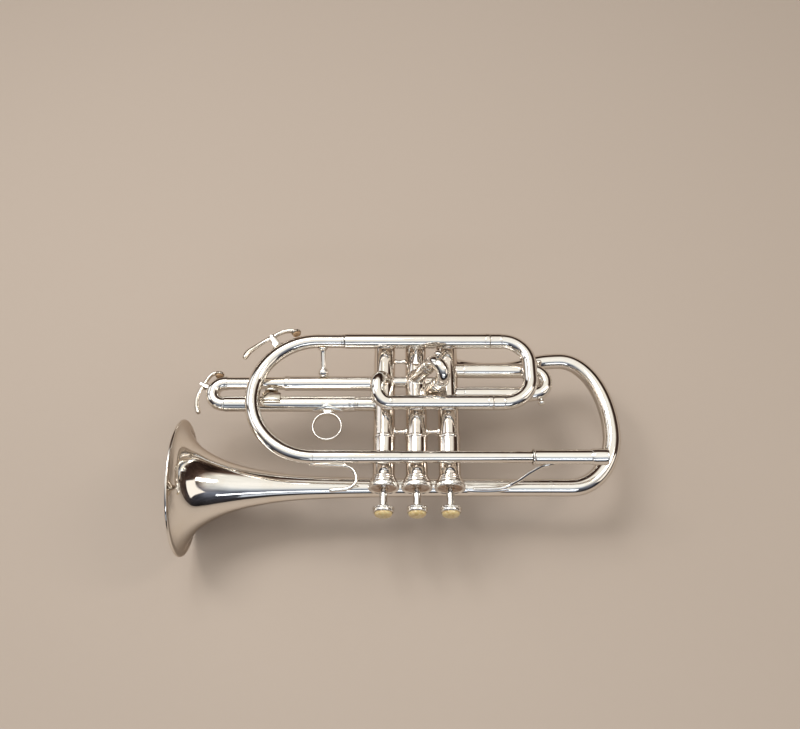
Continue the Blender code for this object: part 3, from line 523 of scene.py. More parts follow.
def silver(name, base=(0.93, 0.905, 0.86), tarnish_and_shade_colour=(0.80, 0.68, 0.50), rough=0.07, along=(1, 0, 0), wear=0.5,
           wobble=0.35, corner_shade_and_tarnish=0.55):
    """Old silver plate: polished, softly uneven, hairlines along the polishing direction, warm tarnish in cloudy
    patches, and tarnish with painted shade in the corners: ambient occlusion darkens occluded corners and joints toward
    the tarnish colour, and the deepest toward near-black.
    """
    g = Nodes(name)
    stretch = tuple(60.0 if a else 1400.0 for a in along)
    hair = g.noise(1.0, 2.0, 0.6, 0.0, g.map(stretch))
    cloud = g.noise(38.0, 4.0, 0.6, 0.6)
    smear = g.noise(150.0, 3.0, 0.55, 1.2)
    pits = g.voronoi(2600.0)
    # painted shade: ambient occlusion picks out occluded corners and joints, which are darkened toward the tarnish
    # colour (partly real tarnish in hollows, partly painted shade) and also roughened
    ao = g.ao(0.0035)
    corner = g.range(ao, 1.0, 0.0, 0.25, 0.85)
    cloudy = g.range(cloud, 0.0, 0.34 * wear + 0.06, 0.46, 0.72)
    amount = g.math("MAXIMUM", cloudy, g.math("MULTIPLY", corner, corner_shade_and_tarnish))
    col = g.mix(amount, base, tarnish_and_shade_colour)
    # painted shade: the most occluded corners are darkened further toward near-black brown (0.20, 0.14, 0.10)
    deep = g.math("MULTIPLY", g.range(ao, 1.0, 0.0, 0.02, 0.4), corner_shade_and_tarnish)
    col = g.mix(deep, col, (0.20, 0.14, 0.10))
    g.link(col, g.b.inputs["Base Color"])
    g.b.inputs["Metallic"].default_value = 1.0
    g.b.inputs["Specular Tint"].default_value = (0.60, 0.54, 0.49, 1.0)
    r = g.math("ADD", g.range(smear, rough * 0.55, rough * 1.9, 0.35, 0.75), g.range(cloud, 0.0, 0.05 * wear, 0.45, 0.75))
    r = g.math("ADD", r, g.range(hair, 0.0, 0.035 * wear, 0.45, 0.7))
    r = g.math("ADD", r, g.math("MULTIPLY", corner, 0.10 * corner_shade_and_tarnish))
    g.link(r, g.b.inputs["Roughness"])
    waves = g.noise(55.0, 1.5, 0.4)
    b = g.bump(waves, 0.10 * wobble, 0.0012)
    b = g.bump(hair, 0.05 * wear, 0.00006, b)
    b = g.bump(g.range(pits, 0.0, 1.0, 0.0, 0.25), 0.03 * wear, 0.00004, b)
    g.link(b, g.b.inputs["Normal"])
    return g.m


SILVER_X = silver("silver_plate_long", along=(1, 0, 0))
SILVER_Y = silver("silver_plate_cross", along=(0, 1, 0))
SILVER_CASE = silver("silver_plate_barrel", base=(0.86, 0.805, 0.745), tarnish_and_shade_colour=(0.60, 0.47, 0.36), along=(0, 1, 0), wobble=0.6, wear=0.9,
                     corner_shade_and_tarnish=0.8)
SILVER_BOW = silver("silver_plate_bow", along=(0, 0, 1), wobble=0.5, wear=0.6)
SILVER_BELL = silver("silver_plate_bell", along=(0, 1, 1), rough=0.055, wobble=0.22, wear=0.45)
BRIGHT = silver("silver_fittings", base=(0.95, 0.93, 0.89), rough=0.06, along=(0, 0, 1), wobble=0.25, wear=0.35, corner_shade_and_tarnish=0.7)
CAP = silver("silver_caps", base=(0.95, 0.93, 0.89), tarnish_and_shade_colour=(0.66, 0.52, 0.38), rough=0.06, along=(0, 1, 0), wobble=0.12,
             wear=0.4, corner_shade_and_tarnish=0.8)
NICKEL = silver("nickel_silver_legs", base=(0.86, 0.82, 0.75), tarnish_and_shade_colour=(0.66, 0.56, 0.42), rough=0.16, along=(1, 0, 0), wear=1.0,
                wobble=0.1)
MONEL = silver("lapped_monel", base=(0.72, 0.69, 0.65), tarnish_and_shade_colour=(0.52, 0.45, 0.36), rough=0.22, along=(0, 1, 0), wear=1.0,
               wobble=0.05)
STEEL = silver("spring_wire", base=(0.66, 0.66, 0.67), tarnish_and_shade_colour=(0.40, 0.33, 0.27), rough=0.2, along=(0, 0, 1), wear=0.8,
               wobble=0.05)


def make_pearl():
    g = Nodes("mother_of_pearl")
    swirl = g.noise(170.0, 4.0, 0.55, 2.2)
    fine = g.noise(900.0, 3.0, 0.5, 1.0)
    flake = g.voronoi(420.0, feature="SMOOTH_F1")
    base = g.ramp(swirl, [(0.30, (0.62, 0.43, 0.17)), (0.48, (0.76, 0.58, 0.27)), (0.60, (0.84, 0.69, 0.38)), (0.75, (0.68, 0.50, 0.22))])
    play = g.noise(260.0, 2.0, 0.5, 3.0)
    tint = g.ramp(play, [(0.30, (0.92, 1.0, 0.94)), (0.48, (1.0, 0.98, 0.90)), (0.62, (1.0, 0.90, 0.92)), (0.75, (0.92, 0.94, 1.0))])
    col = g.mix(0.6, base, tint, "MULTIPLY")
    g.link(col, g.b.inputs["Base Color"])
    g.link(g.range(fine, 0.14, 0.34), g.b.inputs["Roughness"])
    g.b.inputs["Subsurface Weight"].default_value = 0.25
    g.b.inputs["Subsurface Radius"].default_value = (0.0012, 0.0009, 0.0006)
    g.b.inputs["Coat Weight"].default_value = 0.35
    g.b.inputs["Coat Roughness"].default_value = 0.12
    g.b.inputs["Sheen Weight"].default_value = 0.1
    b = g.bump(flake, 0.06, 0.0002)
    b = g.bump(fine, 0.05, 0.00006, b)
    g.link(b, g.b.inputs["Normal"])
    return g.m


def make_cork():
    g = Nodes("cork")
    cell = g.voronoi(900.0)
    big = g.noise(420.0, 4.0, 0.6, 0.4)
    col = g.ramp(big, [(0.30, (0.20, 0.11, 0.055)), (0.48, (0.42, 0.26, 0.14)), (0.62, (0.55, 0.37, 0.21)), (0.78, (0.64, 0.47, 0.30))])
    col = g.mix(g.range(cell, 0.5, 0.0, 0.0, 0.35), col, (0.10, 0.055, 0.03))
    g.link(col, g.b.inputs["Base Color"])
    g.link(g.range(big, 0.72, 0.95), g.b.inputs["Roughness"])
    b = g.bump(cell, 0.6, 0.0002)
    b = g.bump(big, 0.5, 0.0003, b)
    g.link(b, g.b.inputs["Normal"])
    return g.m


def make_nylon():
    g = Nodes("moulded_nylon")
    n = g.noise(300.0, 3.0, 0.5)
    fine = g.noise(4000.0, 2.0, 0.5)
    g.link(g.ramp(n, [(0.35, (0.74, 0.71, 0.63)), (0.65, (0.84, 0.82, 0.75))]), g.b.inputs["Base Color"])
    g.link(g.range(fine, 0.38, 0.55), g.b.inputs["Roughness"])
    g.b.inputs["Subsurface Weight"].default_value = 0.1
    g.link(g.bump(fine, 0.1, 0.0001), g.b.inputs["Normal"])
    return g.m


def make_cap():
    g = Nodes("silver_caps_turned")
    sep = g.t.nodes.new("ShaderNodeSeparateXYZ")
    g.link(g.co, sep.inputs[0])
    pitch = (VALVE_X[0] - VALVE_X[1]) * MM
    x0 = (VALVE_X[1] + SHIFT[0]) * MM
    w = g.t.nodes.new("ShaderNodeMath")
    w.operation = "WRAP"
    g.link(g.math("SUBTRACT", sep.outputs["X"], x0), w.inputs[0])
    w.inputs[1].default_value, w.inputs[2].default_value = pitch / 2, -pitch / 2
    dz = g.math("SUBTRACT", sep.outputs["Z"], SHIFT[2] * MM)
    r = g.math("SQRT", g.math("ADD", g.math("MULTIPLY", w.outputs[0], w.outputs[0]), g.math("MULTIPLY", dz, dz)))
    # painted reflection: the dished face, within about 10.4 to 11.2 mm of each valve axis, is darkened toward brown
    # (0.42, 0.29, 0.20) in cloudy patches, standing in for a dark reflection
    inside = g.range(r, 1.0, 0.0, 0.0104, 0.0112)
    cloud = g.noise(120.0, 4.0, 0.6, 0.8)
    fine = g.noise(900.0, 3.0, 0.6)
    # painted shade: ambient occlusion also darkens occluded corners toward the same brown
    ao = g.ao(0.004)
    corner = g.range(ao, 1.0, 0.0, 0.2, 0.85)
    amount = g.math("MAXIMUM", g.math("MULTIPLY", inside, g.range(cloud, 0.55, 1.0, 0.35, 0.65)), g.math("MULTIPLY", corner, 0.7))
    col = g.mix(amount, (0.95, 0.93, 0.89), (0.42, 0.29, 0.20))
    g.link(col, g.b.inputs["Base Color"])
    g.b.inputs["Metallic"].default_value = 1.0
    rough = g.math("ADD", g.range(cloud, 0.05, 0.11), g.math("MULTIPLY", amount, 0.14))
    g.link(g.math("ADD", rough, g.range(fine, 0.0, 0.04)), g.b.inputs["Roughness"])
    rings = g.math("SINE", g.math("MULTIPLY", r, 13000.0))
    b = g.bump(rings, 0.10, 0.00012)
    b = g.bump(fine, 0.06, 0.00008, b)
    g.link(b, g.b.inputs["Normal"])
    return g.m


PEARL, CORK, NYLON = make_pearl(), make_cork(), make_nylon()
CAP = make_cap()
SATIN = silver("silver_satin_fittings", base=(0.76, 0.71, 0.63), tarnish_and_shade_colour=(0.46, 0.36, 0.26), rough=0.15, along=(1, 0, 0), wear=0.9, wobble=0.3,
               corner_shade_and_tarnish=0.8)


# ---- bell --------------------------------------------------------------------------------------
BELL_TAB = [(-206.6, 58.9), (-205.4, 56.0), (-203.5, 51.5), (-199.0, 44.3), (-192.5, 37.0), (-184.0, 31.0), (-173.5, 25.6),
            (-164.0, 21.9), (-155.3, 19.3), (-146.5, 17.1), (-137.7, 15.4), (-128.9, 13.9), (-120.1, 12.6),
            (-102.6, 10.9), (-85.0, 9.9), (-67.5, 9.2), (-40.0, 8.6), (0.0, 8.1), (60.0, 7.7), (118.0, 7.6)]


def smooth_table(tab, step):
    """Smooth curve through the bell's stations, resampled at about step mm."""
    P = [(x, r, 0.0) for x, r in tab]
    q = dense(P, step)
    return [(float(p[0]), float(p[1])) for p in q]


def build_bell():
    outer = []
    for (x, r) in smooth_table(BELL_TAB, 1.1):
        if not outer or (x - outer[-1][0]) > (0.25 if x < -150 else 1.2 if x < -60 else 3.0) or abs(r - outer[-1][1]) > 1.0:
            outer.append((x, r))
    outer[-1] = (118.0, 7.6)
    prof = []
    # wire bead at the rim
    bead_r, bead_c = 1.15, (58.95, 0.30)
    for i in range(15):
        a = math.radians(-150 + 265 * i / 14)
        prof.append((bead_c[0] + bead_r * math.cos(math.radians(250 - 300 * i / 14)) * 0.98,
                     bead_c[1] + bead_r * math.sin(math.radians(250 - 300 * i / 14))))
    # the loop starts inside the mouth, goes round the bead's front and outer side, and on along the outside
    bead = []
    for i in range(17):
        a = math.radians(215 + 215 * i / 16)          # from the inner side over the front to the back
        bead.append((bead_c[0] + bead_r * math.sin(a) * -1.0, bead_c[1] + bead_r * math.cos(a) * 1.0))
    bead = [(bead_c[0] + bead_r * math.cos(math.radians(t)), bead_c[1] + bead_r * math.sin(math.radians(t)))
            for t in np.linspace(-160, 75, 17)]
    out_h = [(r, x - BELL_RIM_X) for x, r in outer if x > -205.6]
    wall = 0.5
    inn = [(r - wall, x - BELL_RIM_X) for x, r in outer if x > -205.2]
    loop = bead + out_h + [(7.6, 118.0 - BELL_RIM_X), (7.05, 118.0 - BELL_RIM_X)] + inn[::-1]
    clean = [loop[0]]
    for p in loop[1:]:
        if math.dist(p, clean[-1]) > 0.03:
            clean.append(p)
    s = Shape()
    lathe(s, clean, (BELL_RIM_X, BELL_AXIS[0], BELL_AXIS[1]), "+X", 224)
    return piece(s, "bell_shell", "horn", SILVER_BELL, ["bell"], angle=50)


def crook_points():
    yb, zb = BELL_AXIS
    pts = [(118.3, yb, zb), (128.0, yb, zb), (137.0, yb, zb)]
    c, a, lo, up = (137.0, 62.4), 41.7, 62.4 - yb, 71.6
    for i in range(1, 15):
        t = math.radians(-90 + 90 * i / 14)
        pts.append((c[0] + a * math.cos(t), c[1] + lo * math.sin(t), zb))
    for i in range(1, 18):
        t = math.radians(90 * i / 17)
        pts.append((c[0] + a * math.cos(t), c[1] + up * math.sin(t), zb))
    pts += [(121.0, 132.9, zb), (106.0, 129.3, zb), (92.0, 125.6, zb), (76.0, 123.9, -20.6),
            (60.0, 123.4, -18.6), (48.0, 123.4, -15.6), (39.0, 123.4, -11.8), (34.0, 123.4, -7.6)]
    return pts


def build_crook():
    pts = crook_points()
    n = len(pts)
    s4 = []
    for i, p in enumerate(pts):
        r = 7.6 + 0.3 * math.sin(math.pi * min(1.0, i / (0.62 * n))) if i < 0.62 * n else 7.6 - 1.1 * (i - 0.62 * n) / (0.38 * n)
        s4.append((*p, r))
    P, R = with_radius(s4, 1.6)
    s = Shape()
    d = (P[-1] - P[-2]).normalized()
    sweep(s, P, R, 72, wall=0.5, end_on=(tuple(d), VALVE_X[0]))
    # joint sleeve where the crook is soldered over the bell's stem
    ring = [(7.62, -0.25), (7.7, -0.1), (7.72, 1.0), (7.7, 1.7), (7.62, 2.0), (7.4, 2.0), (7.4, -0.25)]
    lathe(s, fillet(ring + [ring[0]], 0.12, 2)[:-1], (118.3, BELL_AXIS[0], BELL_AXIS[1]), "+X", 72)
    return piece(s, "crook_tube", "horn", SILVER_BOW, ["crook"])


def build_leadpipe():
    y, z = LEAD
    s = Shape()
    prof = [(5.85, -88.3), (5.85, -87.0), (5.85, -84.0), (5.85, -62.0), (5.7, -14.6), (5.55, -13.9),
            (5.5, -13.5), (5.35, -13.3), (5.05, 98.3), (4.55, 98.3), (5.3, -88.3)]
    lathe(s, fillet(prof + [prof[0]], 0.15, 3)[:-1], (0, y, z), "+X", 72)
    return piece(s, "leadpipe_tube", "horn", SILVER_X, ["leadpipe"])


def build_receiver():
    y, z = LEAD
    prof = [(5.4, 0.0), (6.75, 0.0), (7.1, 0.35), (7.1, 1.2), (6.75, 1.6), (6.3, 2.0), (6.2, 3.0), (6.2, 36.0), (6.22, 49.6), (6.45, 50.1),
            (6.45, 50.5), (7.0, 51.0), (7.0, 51.9), (6.9, 52.1), (7.0, 52.3), (7.0, 62.9), (6.85, 63.2), (7.0, 63.5), (6.95, 64.2), (6.6, 64.5),
            (5.5, 64.5), (5.2, 64.1), (4.55, 40.0), (4.5, 10.4), (5.4, 10.0)]
    s = Shape()
    lathe(s, fillet(prof + [prof[0]], 0.22, 3)[:-1], (98.6, y, z), "+X", 96)
    return piece(s, "receiver_turned", "horn", BRIGHT, ["mouthpiece_receiver"])


# ---- front bow with its water-key saddle ---------------------------------------------------------
def rounded_ear(shape, centre, radial, along, width, height, thick, z):
    """Plate standing on a tube: flat foot, round top, pierced look by a proud pin head."""
    u, v = Vector(along).normalized(), Vector(radial).normalized()
    outline = [(-width / 2, 0.0), (-width / 2, height * 0.45)]
    k = 12
    for i in range(k + 1):
        a = math.pi - math.pi * i / k
        outline.append((width / 2 * 0.82 * math.cos(a), height - width * 0.41 + width / 2 * 0.82 * math.sin(a)))
    outline += [(width / 2, height * 0.45), (width / 2, 0.0)]
    c = Vector(centre)
    rows = []
    e = 0.12
    for dz, inset in ((-thick / 2, e), (-thick / 2 + e * 0.6, 0.0), (thick / 2 - e * 0.6, 0.0), (thick / 2, e)):
        ring = []
        for (a, b) in outline:
            k2 = 1.0 - inset / (width / 2)
            ring.append(c + u * (a * k2) + v * (height * 0.4 + (b - height * 0.4) * (1 - inset / height)) + Vector((0, 0, z + dz)))
        rows.append(ring)
    base = shape.grid(rows)
    m = len(outline)
    mid = c + v * (height * 0.4)
    shape.cap(base, m, mid + Vector((0, 0, z - thick / 2)))
    shape.cap(base + 3 * m, m, mid + Vector((0, 0, z + thick / 2)), flip=True)


def screw_head(shape, p, direction, r=1.5, h=0.9):
    lathe(shape, fillet([(0.0, -0.6), (r * 0.8, -0.6), (r * 0.8, 0.0), (r, 0.1), (r, h * 0.55), (r * 0.78, h), (r * 0.25, h), (0.0, h)], 0.14, 3),
          p, direction, 28)


def build_front_bow():
    c, r, z = FRONT_C, FRONT_R, LEAD[1]
    pts = [(-88.6, LEAD[0], z, 5.9)]
    n = 90
    for i in range(n + 1):
        a = -90.6 - 178.8 * i / n
        t = i / n
        rr = 5.92 + 0.53 * min(1.0, t / 0.2) - 0.3 * max(0.0, (t - 0.82) / 0.18)
        pts.append((c[0] + r * math.cos(math.radians(a)), c[1] + r * math.sin(math.radians(a)), z, rr))
    pts += [(-88.6, UPPER[0], z, 6.12), (-80.0, UPPER[0], z, 6.08), (-65.3, UPPER[0], z, 6.0)]
    P, R = [Vector(p[:3]) for p in pts], [p[3] for p in pts]
    s = Shape()
    sweep(s, P, R, 72, wall=0.5)
    # ferrule beads at both joints
    for (x, y, rr, ax) in ((-88.6, LEAD[0], 5.86, "+X"), (-67.6, UPPER[0], 6.0, "+X")):
        rise = 0.03 if y == LEAD[0] else 0.28
        ring = [(rr, 0.0), (rr + rise, 0.25), (rr + rise * 1.1, 1.1), (rr + rise, 1.95), (rr, 2.2), (rr - 0.3, 2.2), (rr - 0.3, 0.0)]
        lathe(s, fillet(ring + [ring[0]], 0.1, 2)[:-1], (x if y != LEAD[0] else x - 2.4, y, z), ax, 72)
    ux, uy = math.cos(WK1_A), math.sin(WK1_A)
    base = Vector((c[0] + (r + 5.6) * ux, c[1] + (r + 5.6) * uy, 0.0))
    for dz in (-3.1, 3.1):
        rounded_ear(s, base, (ux, uy, 0), (-uy, ux, 0), 5.2, 12.4, 1.3, WK1_Z + dz)
    # curved foot plate under the ears
    bm = bmesh.new()
    rows = []
    for i in range(15):
        t = -1 + 2 * i / 14
        half = math.radians(34) * math.sqrt(max(0.0, 1 - (abs(t) ** 2.6))) + 0.02
        row = []
        for j in range(9):
            ph = -half + 2 * half * j / 8
            ang = WK1_A + t * 6.2 / (r + 6.45)
            er = Vector((math.cos(ang), math.sin(ang), 0))
            row.append(Vector((c[0], c[1], z)) + er * r + er * (6.95 * math.cos(ph)) + Vector((0, 0, 1)) * (6.95 * math.sin(ph) + 0.0))
        low = []
        for j in range(9):
            ph = half - 2 * half * j / 8
            ang = WK1_A + t * 6.2 / (r + 6.45)
            er = Vector((math.cos(ang), math.sin(ang), 0))
            low.append(Vector((c[0], c[1], z)) + er * r + er * (6.2 * math.cos(ph)) + Vector((0, 0, 1)) * (6.2 * math.sin(ph)))
        rows.append(row + low)
    bm.free()
    b0 = s.grid(rows)
    s.cap(b0, 18, sum(rows[0], Vector()) / 18)
    s.cap(b0 + 14 * 18, 18, sum(rows[-1], Vector()) / 18, flip=True)
    piv = Vector((c[0] + (r + 16.4) * ux, c[1] + (r + 16.4) * uy, WK1_Z))
    screw_head(s, piv + Vector((0, 0, 3.75)), (0, 0, 1), 1.5, 0.8)
    screw_head(s, piv - Vector((0, 0, 3.75)), (0, 0, -1), 1.3, 0.5)
    return piece(s, "front_bow_tube", "horn", SILVER_BOW, ["front_bow"])


# ---- main slide ----------------------------------------------------------------------------------
def build_main_outer():
    yu, z = UPPER
    s = Shape()
    prof = [(6.35, -64.9), (6.62, -64.6), (6.75, -64.1), (6.75, 63.0), (6.8, 63.2), (6.95, 63.5), (7.0, 64.0), (7.0, 66.9), (6.85, 67.25),
            (6.25, 67.3), (6.25, -64.9)]
    lathe(s, fillet(prof + [prof[0]], 0.15, 3)[:-1], (0, yu, z), "+X", 84)
    piece(s, "tuning_outer_upper_tube", "horn", SILVER_X, ["tuning_outer_upper"])
    yl = LOWER[0]
    s = Shape()
    prof = [(6.75, -21.3), (6.75, 63.0), (6.8, 63.2), (6.95, 63.5), (7.0, 64.0), (7.0, 66.9), (6.85, 67.25), (6.25, 67.3), (6.25, -21.3)]
    lathe(s, fillet(prof + [prof[0]], 0.15, 3)[:-1], (0, yl, z), "+X", 84)
    piece(s, "tuning_outer_lower_tube", "horn", SILVER_X, ["tuning_outer_lower"])


def build_knuckle():
    z = LOWER[1]
    pts = [(-21.7, 72.2, z, 6.45), (-23.6, 72.2, z, 6.45), (-27.6, 73.0, z + 0.3, 6.45), (-31.2, 75.8, z + 0.9, 6.5), (-33.8, 80.4, z + 1.7, 6.55),
           (-34.6, 86.0, z + 2.4, 6.6), (-34.4, 91.4, z + 2.4, 6.6), (-33.2, 95.6, z + 0.6, 6.5), (-31.2, 98.2, z - 3.0, 6.35),
           (-29.8, 99.1, z - 6.4, 6.2)]
    P, R = with_radius(pts, 0.9)
    s = Shape()
    d = (P[-1] - P[-2]).normalized()
    sweep(s, P, R, 72, wall=0.5, end_on=(tuple(d), VALVE_X[2]))
    ring = [(6.4, 0.0), (6.72, 0.2), (6.76, 0.9), (6.72, 1.6), (6.4, 1.8), (6.2, 1.8), (6.2, 0.0)]
    lathe(s, fillet(ring + [ring[0]], 0.1, 2)[:-1], (-23.4, LOWER[0], z), "+X", 72)
    piece(s, "valve3_inlet_tube", "horn", SILVER_BOW, ["valve3_inlet_knuckle"])


def main_bow():
    yu, yl, z = UPPER[0], LOWER[0], UPPER[1]
    rc, xr = 24.0, 102.0
    path = straight((78.4, yu, z), (79.0, yu, z), 1.0)[:1]
    path = [(78.0, yu, z)] + arc_pts((xr - rc, yu - rc), rc, 90, 0, 44, z)[1:]
    path += straight((xr, yu - rc, z), (xr, yl + rc, z), 2.0)[1:-1]
    path += arc_pts((xr - rc, yl + rc), rc, 0, -90, 44, z)[:-1] + [(78.0, yl, z)]
    s = Shape()
    n = len(path)
    R = [6.45 + 0.12 * math.sin(math.pi * i / (n - 1)) for i in range(n)]
    sweep(s, path, R, 72, wall=0.5)
    # long ferrules
    for y in (yu, yl):
        prof = [(6.6, 67.95), (6.75, 68.1), (6.75, 77.0), (6.85, 77.2), (6.9, 77.6), (6.8, 78.0), (6.55, 78.35), (6.3, 78.5), (5.95, 78.5), (6.22, 77.0), (6.22, 67.95)]
        lathe(s, fillet(prof + [prof[0]], 0.12, 3)[:-1], (0, y, z), "+X", 84)
    piece(s, "tuning_bow_tube", "main_tuning_slide", SILVER_BOW, ["tuning_slide_bow"])
    for nm, y, cad in (("tuning_leg_upper_tube", yu, "tuning_slide_leg_upper"), ("tuning_leg_lower_tube", yl, "tuning_slide_leg_lower")):
        s = Shape()
        prof = [(5.9, 0.3), (5.9, 76.0), (5.4, 76.0), (5.4, 0.0), (5.7, 0.0)]
        lathe(s, fillet(prof + [prof[0]], 0.12, 3)[:-1], (0, y, z), "+X", 72)
        piece(s, nm, "main_tuning_slide", NICKEL, [cad])


# ---- valves --------------------------------------------------------------------------------------
def build_valve(k):
    x, n = VALVE_X[k], str(k + 1)
    o = (x, 0.0, 0.0)
    H = lambda y: -y
    s = Shape()
    prof = [(CASING_BORE, H(143.6)), (CASING_BORE, H(1.2)), (9.4, H(1.2)), (9.4, H(2.7)), (12.0, H(2.7)), (12.2, H(3.0)),
            (12.2, H(4.2)), (11.95, H(4.5)), (11.2, H(4.7)), (11.0, H(5.0)), (11.25, H(5.4)), (11.3, H(5.9)), (11.2, H(6.5)), (10.9, H(6.8)),
            (10.3, H(7.0)), (10.1, H(7.3)), (10.3, H(7.7)), (10.35, H(8.2)), (10.25, H(8.7)), (9.9, H(9.0)), (9.62, H(9.3)),
            (CASING_R, H(10.4)),
            (CASING_R, H(43.6)), (9.75, H(43.8)), (10.1, H(44.3)), (10.22, H(44.9)), (10.22, H(45.5)), (10.1, H(46.1)), (9.75, H(46.6)),
            (CASING_R, H(46.8)), (CASING_R, H(138.0)), (9.35, H(138.8)), (9.35, H(143.6))]
    lathe(s, fillet(prof + [prof[0]], 0.22, 3)[:-1], o, "-Y", 112)
    # solder seams round the ports
    if k == 0:
        for y in S1_Y:
            solder_ring(s, x, (x, y, 0), 6.35, (1, 0, 0))
        solder_ring(s, x, (x, 101.0, 0), 5.0, (-1, 0, 0), f=0.7)
    if k == 1:
        solder_ring(s, x, (x, 101.0, 0), 5.0, (-1, 0, 0), f=0.7)
        solder_ring(s, x, (x, 101.0, 0), 5.0, (1, 0, 0), f=0.7)
    if k == 2:
        for y in S3_Y:
            solder_ring(s, x, (x, y, 0), 6.5, (-1, 0, 0))
        solder_ring(s, x, (x, 101.0, 0), 5.0, (1, 0, 0), f=0.7)
    piece(s, "casing_%s_barrel" % n, "horn", SILVER_CASE, ["casing_" + n])

    # top cap: knurled band, rolled rim, dished face with turned rings
    s = Shape()
    prof = [(3.75, H(-1.2)), (3.75, H(0.9)), (9.2, H(0.9)), (9.2, H(2.4)), (12.5, H(2.4)), (12.9, H(2.2)),
            (13.1, H(1.5)), (13.4, H(1.2)), (13.4, H(0.9)), (13.15, H(0.7)), (13.15, H(-0.9)), (13.4, H(-1.1)), (13.4, H(-1.6)), (13.1, H(-2.1)),
            (12.6, H(-2.4)), (12.0, H(-2.3)), (11.6, H(-1.7)), (10.9, H(-1.35)), (10.4, H(-1.3)), (10.2, H(-1.45)), (9.8, H(-1.45)), (9.6, H(-1.3)),
            (8.2, H(-1.25)), (8.0, H(-1.45)), (7.5, H(-1.5)), (7.2, H(-1.9)), (6.4, H(-2.05)), (5.2, H(-2.05)), (4.6, H(-1.9)), (4.1, H(-1.4))]

    def knurl(i, th, r, h):
        y = -h
        if r > 13.0 and -1.0 < y < 0.8:
            return 0.13 * (0.5 + 0.5 * math.cos(64 * th)) ** 1.5
        return 0.0

    lathe(s, fillet(prof + [prof[0]], 0.18, 3)[:-1], o, "-Y", 384, knurl)
    piece(s, "top_cap_%s_turned" % n, "horn", CAP, ["top_cap_" + n])

    s = Shape()
    prof = [(9.65, H(139.1)), (10.3, H(139.1)), (10.75, H(139.5)), (10.9, H(139.9)), (10.7, H(140.4)), (10.7, H(142.0)), (10.9, H(142.5)),
            (10.85, H(143.2)), (10.4, H(144.3)), (9.6, H(145.2)), (8.4, H(145.6)), (7.9, H(145.4)), (7.4, H(145.7)), (5.2, H(146.3)), (4.6, H(146.9)),
            (4.5, H(147.9)), (4.1, H(148.4)), (2.8, H(148.4)), (2.4, H(148.0)), (2.2, H(145.6)), (8.6, H(144.0)), (9.65, H(144.0))]

    def knurl2(i, th, r, h):
        return 0.1 * (0.5 + 0.5 * math.cos(56 * th)) ** 1.5 if r > 10.6 and 140.3 < -h < 142.1 else 0.0

    lathe(s, fillet(prof + [prof[0]], 0.18, 3)[:-1], o, "-Y", 336, knurl2)
    piece(s, "bottom_cap_%s_turned" % n, "horn", CAP, ["bottom_cap_" + n])

    body = "valve_" + n
    s = Shape()
    prof = [(0.0, H(19.1)), (3.1, H(19.1)), (STEM_R, H(18.8)), (STEM_R, H(-16.9)), (3.55, H(-17.3)), (4.1, H(-17.7)), (5.2, H(-17.95)),
            (7.0, H(-18.05)), (8.2, H(-18.15)), (8.9, H(-18.5)), (9.2, H(-19.0)), (BUTTON_R, H(-19.5)), (9.15, H(-20.0)), (8.75, H(-20.3)),
            (8.7, H(-20.6)), (8.95, H(-21.0)), (9.05, H(-21.6)), (9.0, H(-22.3)), (8.7, H(-22.9)), (8.3, H(-23.2)), (7.95, H(-23.1)),
            (7.9, H(-22.6)), (7.9, H(-21.4)), (0.0, H(-21.4))]
    lathe(s, fillet(prof, 0.16, 3), o, "-Y", 112)
    piece(s, "finger_button_%s_turned" % n, body, BRIGHT, ["finger_button_" + n])

    s = Shape()
    prof = [(0.0, H(-21.7)), (7.6, H(-21.7)), (7.65, H(-22.0)), (7.65, H(-23.5)), (7.55, H(-24.4)), (7.15, H(-25.3)), (6.3, H(-26.1)),
            (5.0, H(-26.6)), (3.4, H(-26.95)), (1.7, H(-27.1)), (0.0, H(-27.15))]
    lathe(s, fillet(prof, 0.2, 3), o, "-Y", 96)
    piece(s, "pearl_%s_inlay" % n, body, PEARL, ["pearl_" + n])


